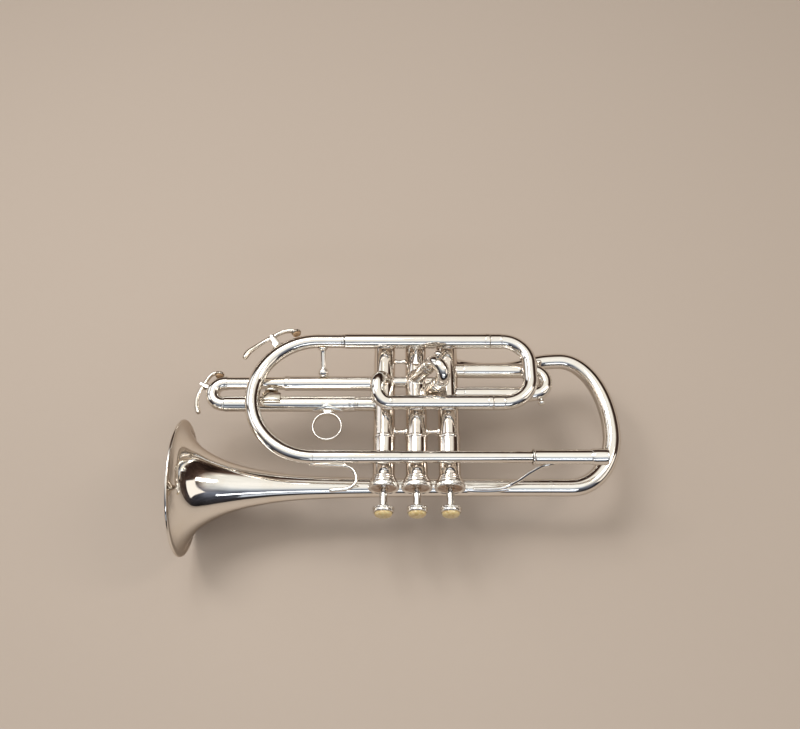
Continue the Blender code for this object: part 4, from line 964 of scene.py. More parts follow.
def build_links():
    for nm, a, b in (("crossover_12", 1, 0), ("crossover_23", 2, 1)):
        xa, xb = VALVE_X[a], VALVE_X[b]
        s = Shape()
        P = straight((xa + 8.2, 101.0, 0), (xb - 8.2, 101.0, 0), 1.0)
        sweep(s, P, 5.0, 64, wall=0.5, start_on=((-1, 0, 0), xa), end_on=((1, 0, 0), xb))
        piece(s, nm + "_tube", "horn", SILVER_X, [nm])
    for nm, a, b, y in (("valve_brace_12", 1, 0, 51.4), ("valve_brace_23", 2, 1, 51.4)):
        xa, xb = VALVE_X[a], VALVE_X[b]
        xm = (xa + xb) / 2
        s = Shape()
        prof = [(4.3, -5.9), (4.2, -5.3), (4.0, -4.6), (3.6, -3.7), (3.0, -2.9), (2.4, -2.2), (2.05, -1.4), (1.9, -0.7), (1.86, 0.0),
                (1.9, 0.7), (2.05, 1.4), (2.4, 2.2), (3.0, 2.9), (3.6, 3.7), (4.0, 4.6), (4.2, 5.3), (4.3, 5.9)]
        rows = []
        m = 48
        for (r, h) in prof:
            ring = []
            for j in range(m):
                th = math.tau * j / m
                ring.append(Vector((xm + h, y + r * math.cos(th), r * math.sin(th))))
            rows.append(ring)
        rows[0] = onto_casing(rows[0], (-1, 0, 0), xa, CASING_R - 0.2)
        rows[-1] = onto_casing(rows[-1], (1, 0, 0), xb, CASING_R - 0.2)
        b0 = s.grid(rows)
        s.cap(b0, m, sum(rows[0], Vector()) / m)
        s.cap(b0 + (len(rows) - 1) * m, m, sum(rows[-1], Vector()) / m, flip=True)
        piece(s, nm + "_post", "horn", BRIGHT, [nm])
    # thin webs between the casings near their lower ends
    for nm, a, b in (("casing_web_12", 1, 0), ("casing_web_23", 2, 1)):
        xa, xb = VALVE_X[a], VALVE_X[b]
        xm = (xa + xb) / 2
        s = Shape()
        rows = []
        m = 40
        for i in range(13):
            t = -1 + 2 * i / 12
            h = 5.6 * t
            half_y = 1.7 + 1.5 * abs(t) ** 2.2
            half_z = 1.7 + 1.2 * abs(t) ** 2.2
            ring = []
            for j in range(m):
                th = math.tau * j / m
                ring.append(Vector((xm + h, 122.0 + half_y * math.cos(th), half_z * math.sin(th))))
            rows.append(ring)
        rows[0] = onto_casing(rows[0], (-1, 0, 0), xa, CASING_R - 0.2)
        rows[-1] = onto_casing(rows[-1], (1, 0, 0), xb, CASING_R - 0.2)
        b0 = s.grid(rows)
        s.cap(b0, m, sum(rows[0], Vector()) / m)
        s.cap(b0 + 12 * m, m, sum(rows[-1], Vector()) / m, flip=True)
        piece(s, nm, "horn", BRIGHT, [])


def knob(shape, p, direction):
    """Pull knob: small saddle, neck and two stacked balls."""
    prof = [(0.0, -1.4), (3.1, -1.4), (2.9, -0.5), (2.2, 0.2), (1.6, 0.8), (1.45, 1.2), (2.0, 1.5), (2.45, 2.0), (2.4, 2.6), (1.8, 3.0), (1.5, 3.2),
            (2.1, 3.5), (2.9, 3.9), (3.3, 4.6), (3.35, 5.3), (3.0, 6.1), (2.3, 6.7), (1.3, 7.05), (0.6, 7.17), (0.0, 7.2)]
    lathe(shape, prof, p, direction, 48)


def build_slide1():
    ya, yb = S1_Y
    for nm, y in (("slide1_outer_upper", ya), ("slide1_outer_lower", yb)):
        s = Shape()
        x = VALVE_X[0]
        P = straight((x + 7.3, y, 0), (44.0, y, 0), 1.2)
        sweep(s, P, 6.35, 72, wall=0.55, start_on=((-1, 0, 0), x))
        prof = [(6.35, 43.6), (6.6, 43.9), (6.75, 44.4), (6.75, 97.0), (6.95, 97.4), (7.0, 97.9), (7.0, 100.6), (6.85, 101.0), (6.2, 101.0), (6.2, 43.6)]
        lathe(s, fillet(prof + [prof[0]], 0.15, 3)[:-1], (0, y, 0), "+X", 84)
        piece(s, nm + "_tube", "horn", SILVER_X, [nm])
    yc, r = (ya + yb) / 2, (ya - yb) / 2
    s = Shape()
    path = [(103.0, ya, 0), (104.6, ya, 0)] + arc_pts((106.2, yc), r, 90, -90, 60, 0) + [(104.6, yb, 0), (103.0, yb, 0)]
    sweep(s, path, 6.2, 72, wall=0.5)
    for y in (ya, yb):
        prof = [(5.9, 46.0), (5.9, 101.3), (6.6, 101.35), (6.75, 101.6), (6.75, 104.6), (6.65, 105.0), (6.35, 105.2), (6.0, 105.2), (5.4, 101.3), (5.4, 46.0)]
        lathe(s, fillet(prof + [prof[0]], 0.12, 3)[:-1], (0, y, 0), "+X", 84)
    knob(s, (113.2, yc + 15.6, 0), "+Y")
    knob(s, (113.2, yc - 15.6, 0), (0, -1, 0))
    piece(s, "first_slide_tube", "first_valve_slide", SILVER_BOW, ["first_slide"])


def build_slide2():
    d, A, B = S2_D, S2_A, S2_B
    tB = (B - A).dot(d)
    for nm, P0, s0, s1 in (("slide2_outer_upper", A, 9.2, 32.0), ("slide2_outer_lower", B, 5.6, 32.0 - tB)):
        s = Shape()
        P = straight(P0 + d * s0, P0 + d * (s1 - 3.2), 0.8)
        sweep(s, P, 6.3, 72, wall=0.5, start_on=(tuple(-d), VALVE_X[1]))
        prof = [(6.3, s1 - 4.0), (6.55, s1 - 3.7), (6.7, s1 - 3.3), (6.7, s1 - 0.3), (6.5, s1), (5.75, s1), (5.75, s1 - 4.0)]
        lathe(s, fillet(prof + [prof[0]], 0.12, 3)[:-1], P0, d, 72)
        # solder flange
        rows = []
        m = 72
        ref = Vector((0, 1, 0))
        q = d.cross(ref).normalized()
        for (rr, off) in ((6.3, 1.6), (6.45, 0.95), (6.75, 0.5), (7.2, 0.22), (7.7, 0.08), (7.7, -0.3), (6.1, -0.3), (6.1, 1.6)):
            ring = []
            for j in range(m):
                th = math.tau * j / m
                p = P0 + d * 8.0 + ref * (rr * math.cos(th)) + q * (rr * math.sin(th))
                ring.append(onto_casing([p], tuple(d), VALVE_X[1], CASING_R + 0.02)[0] + d * off)
            rows.append(ring)
        s.grid(rows, close_v=True)
        piece(s, nm + "_tube", "horn", SILVER_BOW, [nm])
    sep = (B - A) - d * tB
    R, u = sep.length / 2, sep.normalized()
    M = A + d * 38.5 + sep / 2
    s = Shape()
    path = [A + d * 35.0, A + d * 36.6]
    for i in range(61):
        t = math.pi * i / 60
        path.append(M - u * (R * math.cos(t)) + d * (R * math.sin(t)))
    path += [A + sep + d * 36.6, A + sep + d * 35.0]
    sweep(s, path, 6.0, 72, wall=0.5)
    for P0 in (A, A + sep):
        prof = [(5.2, 14.0), (5.2, 32.3), (6.3, 32.35), (6.5, 32.6), (6.5, 35.6), (6.35, 36.0), (6.1, 36.2), (5.8, 36.2), (4.7, 32.3), (4.7, 14.0)]
        lathe(s, fillet(prof + [prof[0]], 0.12, 3)[:-1], P0, d, 72)
    dk = (d * 0.8 - u * 0.6).normalized()
    knob(s, M + dk * (R + 5.1), dk)
    piece(s, "second_slide_tube", "second_valve_slide", SILVER_BOW, ["second_slide"])


def build_slide3():
    ya, yb = S3_Y
    x3 = VALVE_X[2]
    s = Shape()
    P = straight((x3 - 7.0, ya, 0), (-112.0, ya, 0), 2.0)
    sweep(s, P, 6.5, 72, wall=0.5, start_on=((1, 0, 0), x3))
    prof = [(6.5, -111.6), (6.5, -115.4), (6.75, -115.7), (6.85, -116.2), (6.85, -119.1), (6.7, -119.4), (5.95, -119.4), (5.95, -111.6)]
    lathe(s, fillet(prof + [prof[0]], 0.12, 3)[:-1], (0, ya, 0), "+X", 84)
    piece(s, "slide3_outer_upper_tube", "horn", SILVER_X, ["slide3_outer_upper"])

    s = Shape()
    P = straight((x3 - 7.0, yb, 0), (-51.4, yb, 0), 1.2)
    sweep(s, P, 6.5, 72, wall=0.5, start_on=((1, 0, 0), x3))
    prof = [(6.5, -50.8), (6.5, -52.0), (6.35, -52.4), (6.05, -52.6), (6.05, -149.8), (5.85, -150.0), (5.5, -150.0), (5.5, -50.8)]
    lathe(s, fillet(prof + [prof[0]], 0.1, 3)[:-1], (0, yb, 0), "+X", 84)
    piece(s, "slide3_inner_lower_tube", "horn", NICKEL, ["slide3_inner_lower"])

    yc, r = (ya + yb) / 2, (ya - yb) / 2
    s = Shape()
    path = [(-171.6, ya, 0), (-173.0, ya, 0)] + arc_pts((S3_XC, yc), r, 90, 270, 60, 0) + [(-172.6, yb, 0)]
    sweep(s, path, 6.25, 72, wall=0.5)
    prof = [(5.65, -56.0), (5.65, -171.4), (6.1, -171.5), (6.3, -171.9), (6.4, -172.6), (6.4, -173.6), (6.2, -174.0), (5.9, -174.0), (5.15, -171.4),
            (5.15, -56.0)]
    lathe(s, fillet(prof + [prof[0]], 0.1, 3)[:-1], (0, ya, 0), "+X", 84)
    prof = [(6.1, -172.5), (6.35, -172.7), (6.45, -173.2), (6.45, -174.0), (6.3, -174.4), (5.9, -174.4), (5.9, -172.5)]
    lathe(s, fillet(prof + [prof[0]], 0.1, 3)[:-1], (0, yb, 0), "+X", 84)
    ux, uy = math.cos(WK3_A), math.sin(WK3_A)
    base = Vector((S3_XC + (r + 5.4) * ux, yc + (r + 5.4) * uy, 0.0))
    for dz in (-2.9, 2.9):
        rounded_ear(s, base, (ux, uy, 0), (-uy, ux, 0), 4.4, 8.2, 1.1, dz)
    piv = Vector((S3_XC + 21.2 * ux, yc + 21.2 * uy, 0.0))
    screw_head(s, piv + Vector((0, 0, 3.45)), (0, 0, 1), 1.4, 0.7)
    screw_head(s, piv - Vector((0, 0, 3.45)), (0, 0, -1), 1.2, 0.5)
    piece(s, "third_slide_tube", "third_valve_slide", SILVER_BOW, ["third_slide_bow"])

    s = Shape()
    prof = [(6.95, -172.2), (6.95, -60.4), (7.1, -60.1), (7.3, -59.6), (7.3, -58.9), (7.1, -58.5), (7.0, -58.2), (7.0, -56.2), (7.2, -55.8), (7.3, -55.4),
            (7.25, -54.9), (7.0, -54.7), (6.4, -54.7), (6.4, -172.2)]
    lathe(s, fillet(prof + [prof[0]], 0.14, 3)[:-1], (0, yb, 0), "+X", 84)
    piece(s, "third_slide_sleeve_tube", "third_valve_slide", SILVER_X, ["third_slide_sleeve"])

    # finger ring: flat band with rounded edges, on a leaf-shaped foot
    rc = (-79.4, yb - 22.6, 0.0)
    s = Shape()
    prof = []
    for i in range(36):
        th = math.tau * i / 36
        cs, sn = math.cos(th), math.sin(th)
        prof.append((12.72 + 0.83 * math.copysign(abs(cs) ** 0.9, cs), 2.55 * math.copysign(abs(sn) ** 0.9, sn)))
    lathe(s, prof, rc, "+Z", 144)
    rows = []
    L = 13.8
    for i in range(41):
        t = -1 + 2 * i / 40
        f = (1 - abs(t) ** 1.5) ** 0.8
        lo_a, hi_a = math.radians(-6 - 26 * f), math.radians(8 + 62 * f * (1 - 0.35 * (1 - (1 - abs(t)) ** 2)))
        xx = rc[0] + L * t
        up, dn = [], []
        for j in range(13):
            ph = lo_a + (hi_a - lo_a) * j / 12
            e = abs(j / 6.0 - 1)
            ro = 6.98 + 1.15 * (1 - 0.75 * e ** 6) * (1 - 0.35 * t * t)
            up.append(Vector((xx, yb - ro * math.cos(ph), ro * math.sin(ph))))
        for j in range(13):
            ph = hi_a + (lo_a - hi_a) * j / 12
            dn.append(Vector((xx, yb - 6.98 * math.cos(ph), 6.98 * math.sin(ph))))
        rows.append(up + dn)
    b0 = s.grid(rows)
    m = 26
    s.cap(b0, m, sum(rows[0], Vector()) / m)
    s.cap(b0 + 40 * m, m, sum(rows[-1], Vector()) / m, flip=True)
    # webs blending band and foot
    rows = []
    for i in range(13):
        t = i / 12
        yy = yb - 7.4 - 2.4 * t
        w = 5.4 * (1 - t) ** 1.5 + 2.6
        ring = []
        for j in range(32):
            th = math.tau * j / 32
            k = (abs(math.cos(th)) ** 4 + abs(math.sin(th)) ** 4) ** -0.25
            ring.append(Vector((rc[0] + w * math.cos(th) * k, yy, 2.3 * math.sin(th) * k)))
        rows.append(ring)
    b0 = s.grid(rows)
    s.cap(b0, 32, sum(rows[0], Vector()) / 32)
    s.cap(b0 + 12 * 32, 32, sum(rows[-1], Vector()) / 32, flip=True)
    piece(s, "finger_ring_band", "third_valve_slide", BRIGHT, ["finger_ring"])

    # lyre holder: square socket block of bevelled boxes with a round pad, and its thumb screw
    s = Shape()
    lean = Matrix.Translation((0, yb, 0)) @ Matrix.Rotation(math.radians(-9.0), 4, "X") @ Matrix.Translation((0, -yb, 0))
    bevelled_box(s, (-138.0, yb - 1.6, 7.2), (-121.5, yb + 6.0, 9.8), 0.45, lean)
    bevelled_box(s, (-137.4, yb + 3.9, 3.2), (-122.1, yb + 6.2, 8.6), 0.4, lean)
    bevelled_box(s, (-137.4, yb - 3.4, 6.4), (-122.1, yb - 0.4, 8.4), 0.4, lean)
    disc(s, (-130.6, yb + 7.2, 3.9), "+Y", 2.3, 2.3, 0.5, 36)
    piece(s, "lyre_holder_block", "third_valve_slide", SATIN, ["lyre_holder"])
    s = Shape()
    prof = [(0.0, 0.0), (1.2, 0.0), (1.2, 1.3), (1.6, 1.5), (5.6, 1.6), (6.0, 1.8), (6.2, 2.1), (6.2, 3.4), (6.0, 3.8), (5.6, 4.0), (4.4, 3.9),
            (3.6, 3.7), (2.2, 3.9), (1.4, 4.15), (0.0, 4.2)]

    def knurl3(i, th, r, h):
        return -0.22 * (0.5 + 0.5 * math.cos(28 * th)) ** 2 if r > 6.05 else 0.0

    lathe(s, fillet(prof, 0.15, 3), (-130.6, yb + 7.9, 3.9), "+Y", 224, knurl3)
    piece(s, "lyre_thumb_screw_turned", "lyre_thumb_screw", SATIN, ["lyre_screw"])


# ---- water keys ----------------------------------------------------------------------------------
def water_key(name, body, cad, cork_name, cork_cad, pivot, pts, zc, cup_at, cup_dir, half_w):
    """Flat tapering lever on a barrel, ball tip, round cup with cork."""
    s = Shape()
    P, T = with_radius(pts, 0.6)
    wide = []
    n = len(P)
    for i in range(n):
        t = i / (n - 1)
        wide.append(half_w * (0.95 - 0.42 * math.sin(math.pi * min(1.0, t * 1.15)) ** 2) + 0.2)
    sweep(s, P, [1.22 * t for t in T], 40, second=wide, up=(0, 0, 1), power=2.05, round_ends=0.9)
    lathe(s, fillet([(0.0, -2.15), (1.75, -2.15), (1.95, -1.9), (1.95, 1.9), (1.75, 2.15), (0.0, 2.15)], 0.15, 3), (pivot[0], pivot[1], zc), "+Z", 40)
    c, d = Vector(cup_at), Vector(cup_dir).normalized()
    prof = [(0.0, 2.3), (1.6, 2.25), (2.8, 1.95), (3.7, 1.45), (4.2, 0.9), (4.3, 0.2), (4.3, -0.35), (4.1, -0.5), (3.85, -0.4), (3.7, -0.3), (0.0, -0.3)]
    lathe(s, prof[::-1], c, d, 56)
    piece(s, name, body, SATIN, [cad])
    s = Shape()
    lathe(s, fillet([(0.0, -2.6), (3.3, -2.6), (3.55, -2.3), (3.6, -0.7), (0.0, -0.7)], 0.2, 3), c, d, 48)
    piece(s, cork_name, body, CORK, [cork_cad])


def build_keys():
    c, r = FRONT_C, FRONT_R

    def on(a, h, t, z=WK1_Z):
        a = math.radians(a)
        return (c[0] + (r + h) * math.cos(a), c[1] + (r + h) * math.sin(a), z, t)

    pts = [on(149.8, 19.8, 1.7), on(148.2, 20.1, 2.1), on(145.0, 20.2, 2.1), on(141.5, 19.4, 1.85), on(137.0, 18.4, 1.6), on(132.0, 17.6, 1.5), on(126.0, 16.4, 1.8),
           on(120.0, 16.6, 1.4), on(115.0, 16.0, 1.3), on(111.0, 14.2, 1.3), on(108.2, 12.9, 1.1)]
    piv = (c[0] + (r + 16.4) * math.cos(WK1_A), c[1] + (r + 16.4) * math.sin(WK1_A))
    a = math.radians(108.0)
    water_key("bow_water_key_lever", "bow_key", "bow_water_key", "bow_key_cork_pad", "bow_key_cork", piv, pts, WK1_Z, on(108.0, 11.2, 0)[:3],
              (math.cos(a), math.sin(a), 0), 2.5)
    yc = (S3_Y[0] + S3_Y[1]) / 2
    px, py = S3_XC + 21.2 * math.cos(WK3_A), yc + 21.2 * math.sin(WK3_A)
    pts = [(px - 1.6, py - 27.0, 0, 1.5), (px - 2.5, py - 25.2, 0, 1.9), (px - 3.8, py - 21.0, 0, 1.8), (px - 4.5, py - 13.0, 0, 1.5), (px - 2.8, py - 6.0, 0, 1.4),
           (px, py, 0, 1.7), (px + 2.6, py + 5.6, 0, 1.35), (px + 6.6, py + 11.2, 0, 1.25), (px + 12.4, py + 13.5, 0, 1.1)]
    water_key("third_water_key_lever", "third_slide_key", "third_water_key", "third_key_cork_pad", "third_key_cork", (px, py), pts, 0.0,
              (px + 13.6, S3_Y[0] + 6.25 + 3.0, 0.0), (0, 1, 0), 2.3)


# ---- hook and braces -----------------------------------------------------------------------------
def build_hook():
    z = 14.4
    s = Shape()
    # strap lying along the leadpipe, then the hook
    pts = [(-91.0, 14.6, z, 0.75), (-86.0, 14.3, z, 0.95), (-78.0, 13.95, z, 1.05), (-70.0, 13.75, z, 1.15), (-64.0, 13.55, z, 1.3), (-60.5, 13.1, z, 1.4),
           (-57.0, 11.8, z, 1.45), (-54.0, 9.3, z, 1.45), (-52.2, 6.4, z, 1.45), (-51.5, 2.6, z, 1.45), (-51.9, -0.6, z, 1.45), (-53.6, -3.6, z, 1.5),
           (-56.4, -5.8, z, 1.55), (-60.0, -7.0, z, 1.6), (-64.0, -7.5, z, 1.65), (-68.5, -7.8, z, 1.75), (-71.6, -8.0, z, 1.9), (-73.0, -8.1, z, 1.6)]
    P, T = with_radius(pts, 0.7)
    n = len(P)
    wide = [2.9 - 0.9 * min(1.0, max(0.0, (i / (n - 1) - 0.12) / 0.4)) for i in range(n)]
    sweep(s, P, T, 44, second=wide, up=(0, 0, 1), power=2.0, round_ends=1.0)
    # seat soldered to the leadpipe
    rows = []
    for i in range(25):
        t = i / 24
        xx = -91.5 + 31.0 * t
        half = math.radians(10 + 26 * math.sin(math.pi * min(1.0, t * 1.02)) ** 0.6)
        up, dn = [], []
        mid = math.radians(-66 - 90)
        for j in range(9):
            ph = -half + 2 * half * j / 8 - math.pi + math.radians(22)
            up.append(Vector((xx, LEAD[0] + 7.0 * math.cos(ph), LEAD[1] + 7.0 * math.sin(ph))))
        for j in range(9):
            ph = half - 2 * half * j / 8 - math.pi + math.radians(22)
            dn.append(Vector((xx, LEAD[0] + 5.75 * math.cos(ph), LEAD[1] + 5.75 * math.sin(ph))))
        rows.append(up + dn)
    b0 = s.grid(rows)
    s.cap(b0, 18, sum(rows[0], Vector()) / 18)
    s.cap(b0 + 24 * 18, 18, sum(rows[-1], Vector()) / 18, flip=True)
    piece(s, "finger_hook_strap", "horn", BRIGHT, ["finger_hook"])


def build_braces():
    s = Shape()
    pts = [(121.0, 18.4, 10.9, 1.1), (116.5, 17.3, 10.9, 1.45), (112.3, 16.5, 11.0, 1.6), (109.0, 15.9, 10.0, 1.5), (105.8, 15.1, 7.5, 1.4),
           (97.9, 12.4, 1.0, 1.35), (89.9, 8.8, -6.0, 1.35), (84.5, 7.2, -10.9, 1.4), (81.2, 6.2, -12.9, 1.45), (77.5, 5.1, -13.6, 1.45), (73.0, 4.1, -13.75, 1.35),
           (66.0, 3.6, -13.9, 1.2), (58.0, 3.5, -13.95, 1.1), (50.0, 3.5, -13.95, 1.0)]
    P, T = with_radius(pts, 0.7)
    sweep(s, P, [1.3 * t for t in T], 40, round_ends=0.7)
    # leaf foot on the bell's stem
    rows = []
    for i in range(33):
        t = i / 32
        xx = 44.5 + 37.5 * t
        half = math.radians(4 + 30 * math.sin(math.pi * min(1.0, 0.18 + t * 0.82)) ** 0.85)
        mid = math.atan2(0.883, -0.469)
        rb = 8.12 - 0.004 * (xx - 40)
        up, dn = [], []
        for j in range(13):
            ph = mid - half + 2 * half * j / 12
            ro = rb + 0.85 * (1 - 0.6 * (j / 6.0 - 1) ** 2)
            up.append(Vector((xx, BELL_AXIS[0] + ro * math.cos(ph), BELL_AXIS[1] + ro * math.sin(ph))))
        for j in range(13):
            ph = mid + half - 2 * half * j / 12
            dn.append(Vector((xx, BELL_AXIS[0] + (rb - 0.5) * math.cos(ph), BELL_AXIS[1] + (rb - 0.5) * math.sin(ph))))
        rows.append(up + dn)
    b0 = s.grid(rows)
    s.cap(b0, 26, sum(rows[0], Vector()) / 26)
    s.cap(b0 + 32 * 26, 26, sum(rows[-1], Vector()) / 26, flip=True)
    piece(s, "bell_brace_rod", "horn", BRIGHT, ["bell_brace"])

    def post(name, cad, p, q, prof, material):
        p, q = Vector(p), Vector(q)
        s = Shape()
        lathe(s, fillet(prof((q - p).length), 0.25, 3), p, (q - p).normalized(), 56)
        piece(s, name, "horn", material, [cad])

    post("bow_brace_post", "bow_brace", (-85.0, UPPER[0] - 5.6, 14.6), (-84.2, S3_Y[0] + 5.2, 3.6),
         lambda L: [(0.0, -0.3), (4.5, -0.3), (4.6, 0.4), (4.3, 1.1), (3.3, 2.0), (2.6, 3.0), (2.35, 4.2), (2.25, L * 0.5), (2.25, L - 8.2), (2.5, L - 7.4),
                    (3.4, L - 6.9), (4.1, L - 6.0), (4.6, L - 4.6), (4.7, L - 3.2), (4.4, L - 1.9), (3.8, L - 1.0), (4.3, L - 0.4), (5.2, L + 0.5), (0.0, L + 0.5)], BRIGHT)
    post("slide_brace_post", "slide_brace", (0.0, UPPER[0] - 5.4, 14.4), (0.0, 116.2, 8.0),
         lambda L: [(0.0, -0.3), (3.1, -0.3), (3.2, 0.4), (2.6, 1.3), (1.9, 2.4), (1.6, 3.6), (1.5, L * 0.42), (1.7, L * 0.5), (2.4, L * 0.62), (3.4, L * 0.8),
                    (4.2, L * 0.92), (4.5, L), (4.4, L + 0.8), (0.0, L + 0.8)], BRIGHT)


build_bell()
build_crook()
build_leadpipe()
build_receiver()
build_front_bow()
build_main_outer()
build_knuckle()
main_bow()
for valve in range(3):
    build_valve(valve)
build_links()
build_slide1()
build_slide2()
build_slide3()
build_keys()
build_hook()
build_braces()

# ---- inner valve parts keep their CAD shapes, with worked finishes ----------------------------------
for k in (1, 2, 3):
    for node, mat in (("piston_%d" % k, MONEL), ("spring_guide_%d" % k, NYLON)):
        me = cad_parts[node].data
        me.materials.clear()
        me.materials.append(mat)


def build_spring(k):
    """Round-wire coil with closed ends, standing between the guide and the barrel's inner shoulder."""
    x = VALVE_X[k]
    s = Shape()
    pts, per = [], 36
    y0, y1, turns = 60.3, 22.6, 7.0
    for i in range(int(turns * per) + 1):
        t = i / per
        if t < 1.0:
            f = 0.028 * t
        elif t > turns - 1.0:
            f = 1.0 - 0.028 * (turns - t)
        else:
            f = 0.028 + (1 - 0.056) * (t - 1.0) / (turns - 2.0)
        a = math.tau * t
        pts.append(Vector((x + 5.6 * math.cos(a), y0 + (y1 - y0) * f, 5.6 * math.sin(a))))
    sweep(s, pts, 0.45, 14, round_ends=0.4)
    ob = piece(s, "valve_spring_%d_coil" % (k + 1), "horn", STEEL, ["valve_spring_%d" % (k + 1)], angle=60)
    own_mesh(ob)


for valve in range(3):
    build_spring(valve)


# ---- stage, light, camera --------------------------------------------------------------------------
def make_floor():
    bm = bmesh.new()
    n = 24
    size = 3.2
    for i in range(n + 1):
        for j in range(n + 1):
            bm.verts.new((-size / 2 + size * i / n, -size / 2 + size * j / n, 0.0))
    bm.verts.ensure_lookup_table()
    for i in range(n):
        for j in range(n):
            a = i * (n + 1) + j
            bm.faces.new((bm.verts[a], bm.verts[a + n + 1], bm.verts[a + n + 2], bm.verts[a + 1]))
    me = bpy.data.meshes.new("floor")
    bm.to_mesh(me)
    bm.free()
    ob = bpy.data.objects.new("floor", me)
    bpy.context.scene.collection.objects.link(ob)
    ob.scale = (6, 6, 1)
    g = Nodes("floor_paper")
    a = g.noise(3.0, 3.0, 0.5)
    f = g.noise(600.0, 2.0, 0.5)
    g.link(g.mix(g.range(a, 0.0, 1.0), FLOOR_A, FLOOR_B), g.b.inputs["Base Color"])
    g.link(g.range(f, 0.75, 0.9), g.b.inputs["Roughness"])
    g.b.inputs["Specular IOR Level"].default_value = 0.2
    me.materials.append(g.m)


FLOOR_A, FLOOR_B = (0.500, 0.415, 0.345), (0.530, 0.443, 0.370)


def make_world():
    w = bpy.data.worlds.new("studio")
    bpy.context.scene.world = w
    w.use_nodes = True
    t = w.node_tree
    for n in list(t.nodes):
        t.nodes.remove(n)
    out = t.nodes.new("ShaderNodeOutputWorld")
    bg = t.nodes.new("ShaderNodeBackground")
    tc = t.nodes.new("ShaderNodeTexCoord")
    sep = t.nodes.new("ShaderNodeSeparateXYZ")
    t.links.new(tc.outputs["Generated"], sep.inputs[0])
    up = t.nodes.new("ShaderNodeValToRGB")
    e = up.color_ramp.elements
    stops = [(0.0, (0.06, 0.040, 0.030)), (0.20, (0.022, 0.013, 0.010)), (0.46, (0.034, 0.020, 0.015)), (0.60, (0.075, 0.045, 0.034)),
             (0.675, (0.42, 0.36, 0.31)), (0.73, (0.80, 0.77, 0.70)), (0.86, (0.95, 0.92, 0.85)), (1.0, (1.0, 0.97, 0.91))]
    while len(e) < len(stops):
        e.new(0.5)
    for el, (p, c) in zip(e, stops):
        el.position, el.color = p, (*c, 1)
    t.links.new(sep.outputs["Z"], up.inputs[0])
    # cooler room on the near side, darker toward the floor
    near = t.nodes.new("ShaderNodeMapRange")
    near.inputs["From Min"].default_value = -0.55
    near.inputs["From Max"].default_value = 0.05
    near.inputs["To Min"].default_value = 1.0
    near.inputs["To Max"].default_value = 0.0
    t.links.new(sep.outputs["Y"], near.inputs["Value"])
    low = t.nodes.new("ShaderNodeValToRGB")
    e = low.color_ramp.elements
    stops = [(0.0, (0.012, 0.010, 0.010)), (0.22, (0.020, 0.019, 0.022)), (0.52, (0.065, 0.070, 0.088)), (0.72, (0.17, 0.19, 0.235)),
             (0.82, (0.46, 0.50, 0.55)), (0.90, (0.88, 0.89, 0.88)), (1.0, (1.0, 0.97, 0.91))]
    while len(e) < len(stops):
        e.new(0.5)
    for el, (p, c) in zip(e, stops):
        el.position, el.color = p, (*c, 1)
    t.links.new(sep.outputs["Z"], low.inputs[0])
    mix = t.nodes.new("ShaderNodeMix")
    mix.data_type = "RGBA"
    t.links.new(near.outputs[0], mix.inputs[0])
    t.links.new(up.outputs[0], mix.inputs[6])
    t.links.new(low.outputs[0], mix.inputs[7])
    # uneven room: soft blotches and upright bars of furniture and curtains, strongest near the horizon
    blot = t.nodes.new("ShaderNodeTexNoise")
    blot.inputs["Scale"].default_value = 2.6
    blot.inputs["Detail"].default_value = 5.0
    blot.inputs["Roughness"].default_value = 0.62
    blot.inputs["Distortion"].default_value = 0.4
    t.links.new(tc.outputs["Generated"], blot.inputs["Vector"])
    amp = t.nodes.new("ShaderNodeMapRange")
    amp.inputs["From Min"].default_value = 0.33
    amp.inputs["From Max"].default_value = 0.70
    amp.inputs["To Min"].default_value = 0.30
    amp.inputs["To Max"].default_value = 2.6
    t.links.new(blot.outputs["Fac"], amp.inputs["Value"])
    fade = t.nodes.new("ShaderNodeMapRange")
    fade.inputs["From Min"].default_value = 0.52
    fade.inputs["From Max"].default_value = 0.80
    fade.inputs["To Min"].default_value = 1.0
    fade.inputs["To Max"].default_value = 0.10
    t.links.new(sep.outputs["Z"], fade.inputs["Value"])
    one = t.nodes.new("ShaderNodeMix")
    one.data_type = "FLOAT"
    one.inputs[2].default_value = 1.0
    t.links.new(fade.outputs[0], one.inputs[0])
    t.links.new(amp.outputs[0], one.inputs[3])
    rough_room = t.nodes.new("ShaderNodeVectorMath")
    rough_room.operation = "SCALE"
    t.links.new(mix.outputs[2], rough_room.inputs[0])
    t.links.new(one.outputs[0], rough_room.inputs["Scale"])
    def band(sock, lo, hi, soft):
        a = t.nodes.new("ShaderNodeMapRange")
        a.interpolation_type = "SMOOTHSTEP"
        a.inputs["From Min"].default_value, a.inputs["From Max"].default_value = lo - soft, lo + soft
        t.links.new(sock, a.inputs["Value"])
        b = t.nodes.new("ShaderNodeMapRange")
        b.interpolation_type = "SMOOTHSTEP"
        b.inputs["From Min"].default_value, b.inputs["From Max"].default_value = hi - soft, hi + soft
        b.inputs["To Min"].default_value, b.inputs["To Max"].default_value = 1.0, 0.0
        t.links.new(sock, b.inputs["Value"])
        m = t.nodes.new("ShaderNodeMath")
        m.operation = "MULTIPLY"
        t.links.new(a.outputs[0], m.inputs[0])
        t.links.new(b.outputs[0], m.inputs[1])
        return m.outputs[0]

    def times(a, b):
        m = t.nodes.new("ShaderNodeMath")
        m.operation = "MULTIPLY"
        t.links.new(a, m.inputs[0])
        t.links.new(b, m.inputs[1])
        return m.outputs[0]

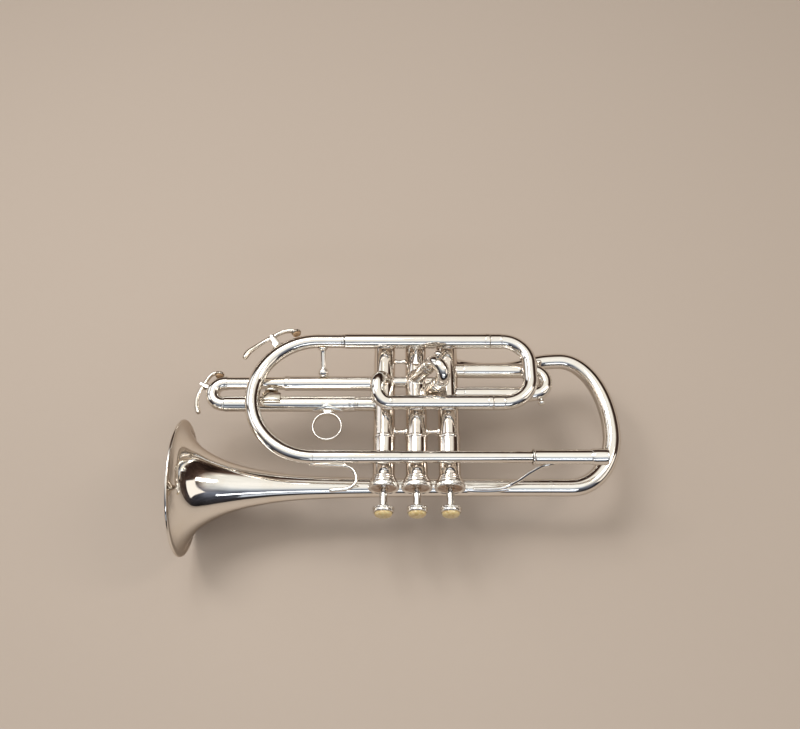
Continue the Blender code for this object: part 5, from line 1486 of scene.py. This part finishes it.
    total = rough_room.outputs[0]
    for (x0, x1, y0, y1, z0, z1, colour) in ((-1.5, -0.5, -0.10, 0.22, 0.16, 0.62, (1.15, 1.17, 1.20)),
                                             (-1.5, -0.5, 0.30, 0.62, 0.16, 0.62, (1.10, 1.12, 1.15)),
                                             (0.55, 1.5, -0.45, 0.10, 0.22, 0.58, (1.10, 1.02, 0.92)),
                                             (-0.30, 0.28, -1.5, -0.72, 0.26, 0.44, (0.62, 0.68, 0.78))):
        mask = times(times(band(sep.outputs["X"], x0, x1, 0.015), band(sep.outputs["Y"], y0, y1, 0.015)), band(sep.outputs["Z"], z0, z1, 0.015))
        m = t.nodes.new("ShaderNodeMix")
        m.data_type = "RGBA"
        t.links.new(mask, m.inputs[0])
        t.links.new(total, m.inputs[6])
        m.inputs[7].default_value = (*colour, 1)
        total = m.outputs[2]
    t.links.new(total, bg.inputs["Color"])
    bg.inputs["Strength"].default_value = 1.0
    t.links.new(bg.outputs[0], out.inputs[0])


def area(name, loc, target, size, power, color=(1, 1, 1), size_y=None):
    li = bpy.data.lights.new(name, "AREA")
    li.shape = "RECTANGLE"
    li.size, li.size_y = size, size_y or size
    li.energy = power
    li.color = color
    ob = bpy.data.objects.new(name, li)
    bpy.context.scene.collection.objects.link(ob)
    ob.location = loc
    ob.rotation_euler = (Vector(target) - Vector(loc)).to_track_quat("-Z", "Y").to_euler()
    return ob


make_floor()
make_world()
area("window", (-0.62, 0.30, 1.20), (-0.05, 0.0, 0.05), 0.34, 4.2, (1.0, 0.985, 0.96), 0.46)
area("window_pane", (-0.26, 0.46, 1.24), (-0.05, 0.0, 0.05), 0.30, 3.6, (0.94, 0.97, 1.0), 0.46)
area("side_lamp", (0.85, 0.15, 1.15), (0.0, 0.0, 0.05), 0.22, 2.2, (1.0, 0.95, 0.88), 0.5)
area("near_strip", (0.15, -1.0, 0.75), (0.0, 0.0, 0.05), 0.8, 1.2, (0.86, 0.92, 1.0), 0.10)

cam_data = bpy.data.cameras.new("camera")
cam_data.sensor_width = 36.0
cam_data.lens = 867.0 * 36.0 / 800.0
cam_data.clip_start, cam_data.clip_end = 0.02, 50.0
cam = bpy.data.objects.new("camera", cam_data)
bpy.context.scene.collection.objects.link(cam)
cam.location = tuple((np.array((-14.52, -256.78, 707.12)) + SHIFT) * MM)
cam.rotation_euler = (math.radians(28.0), 0.0, 0.0)
bpy.context.scene.camera = cam
bpy.context.scene.view_settings.view_transform = "Standard"
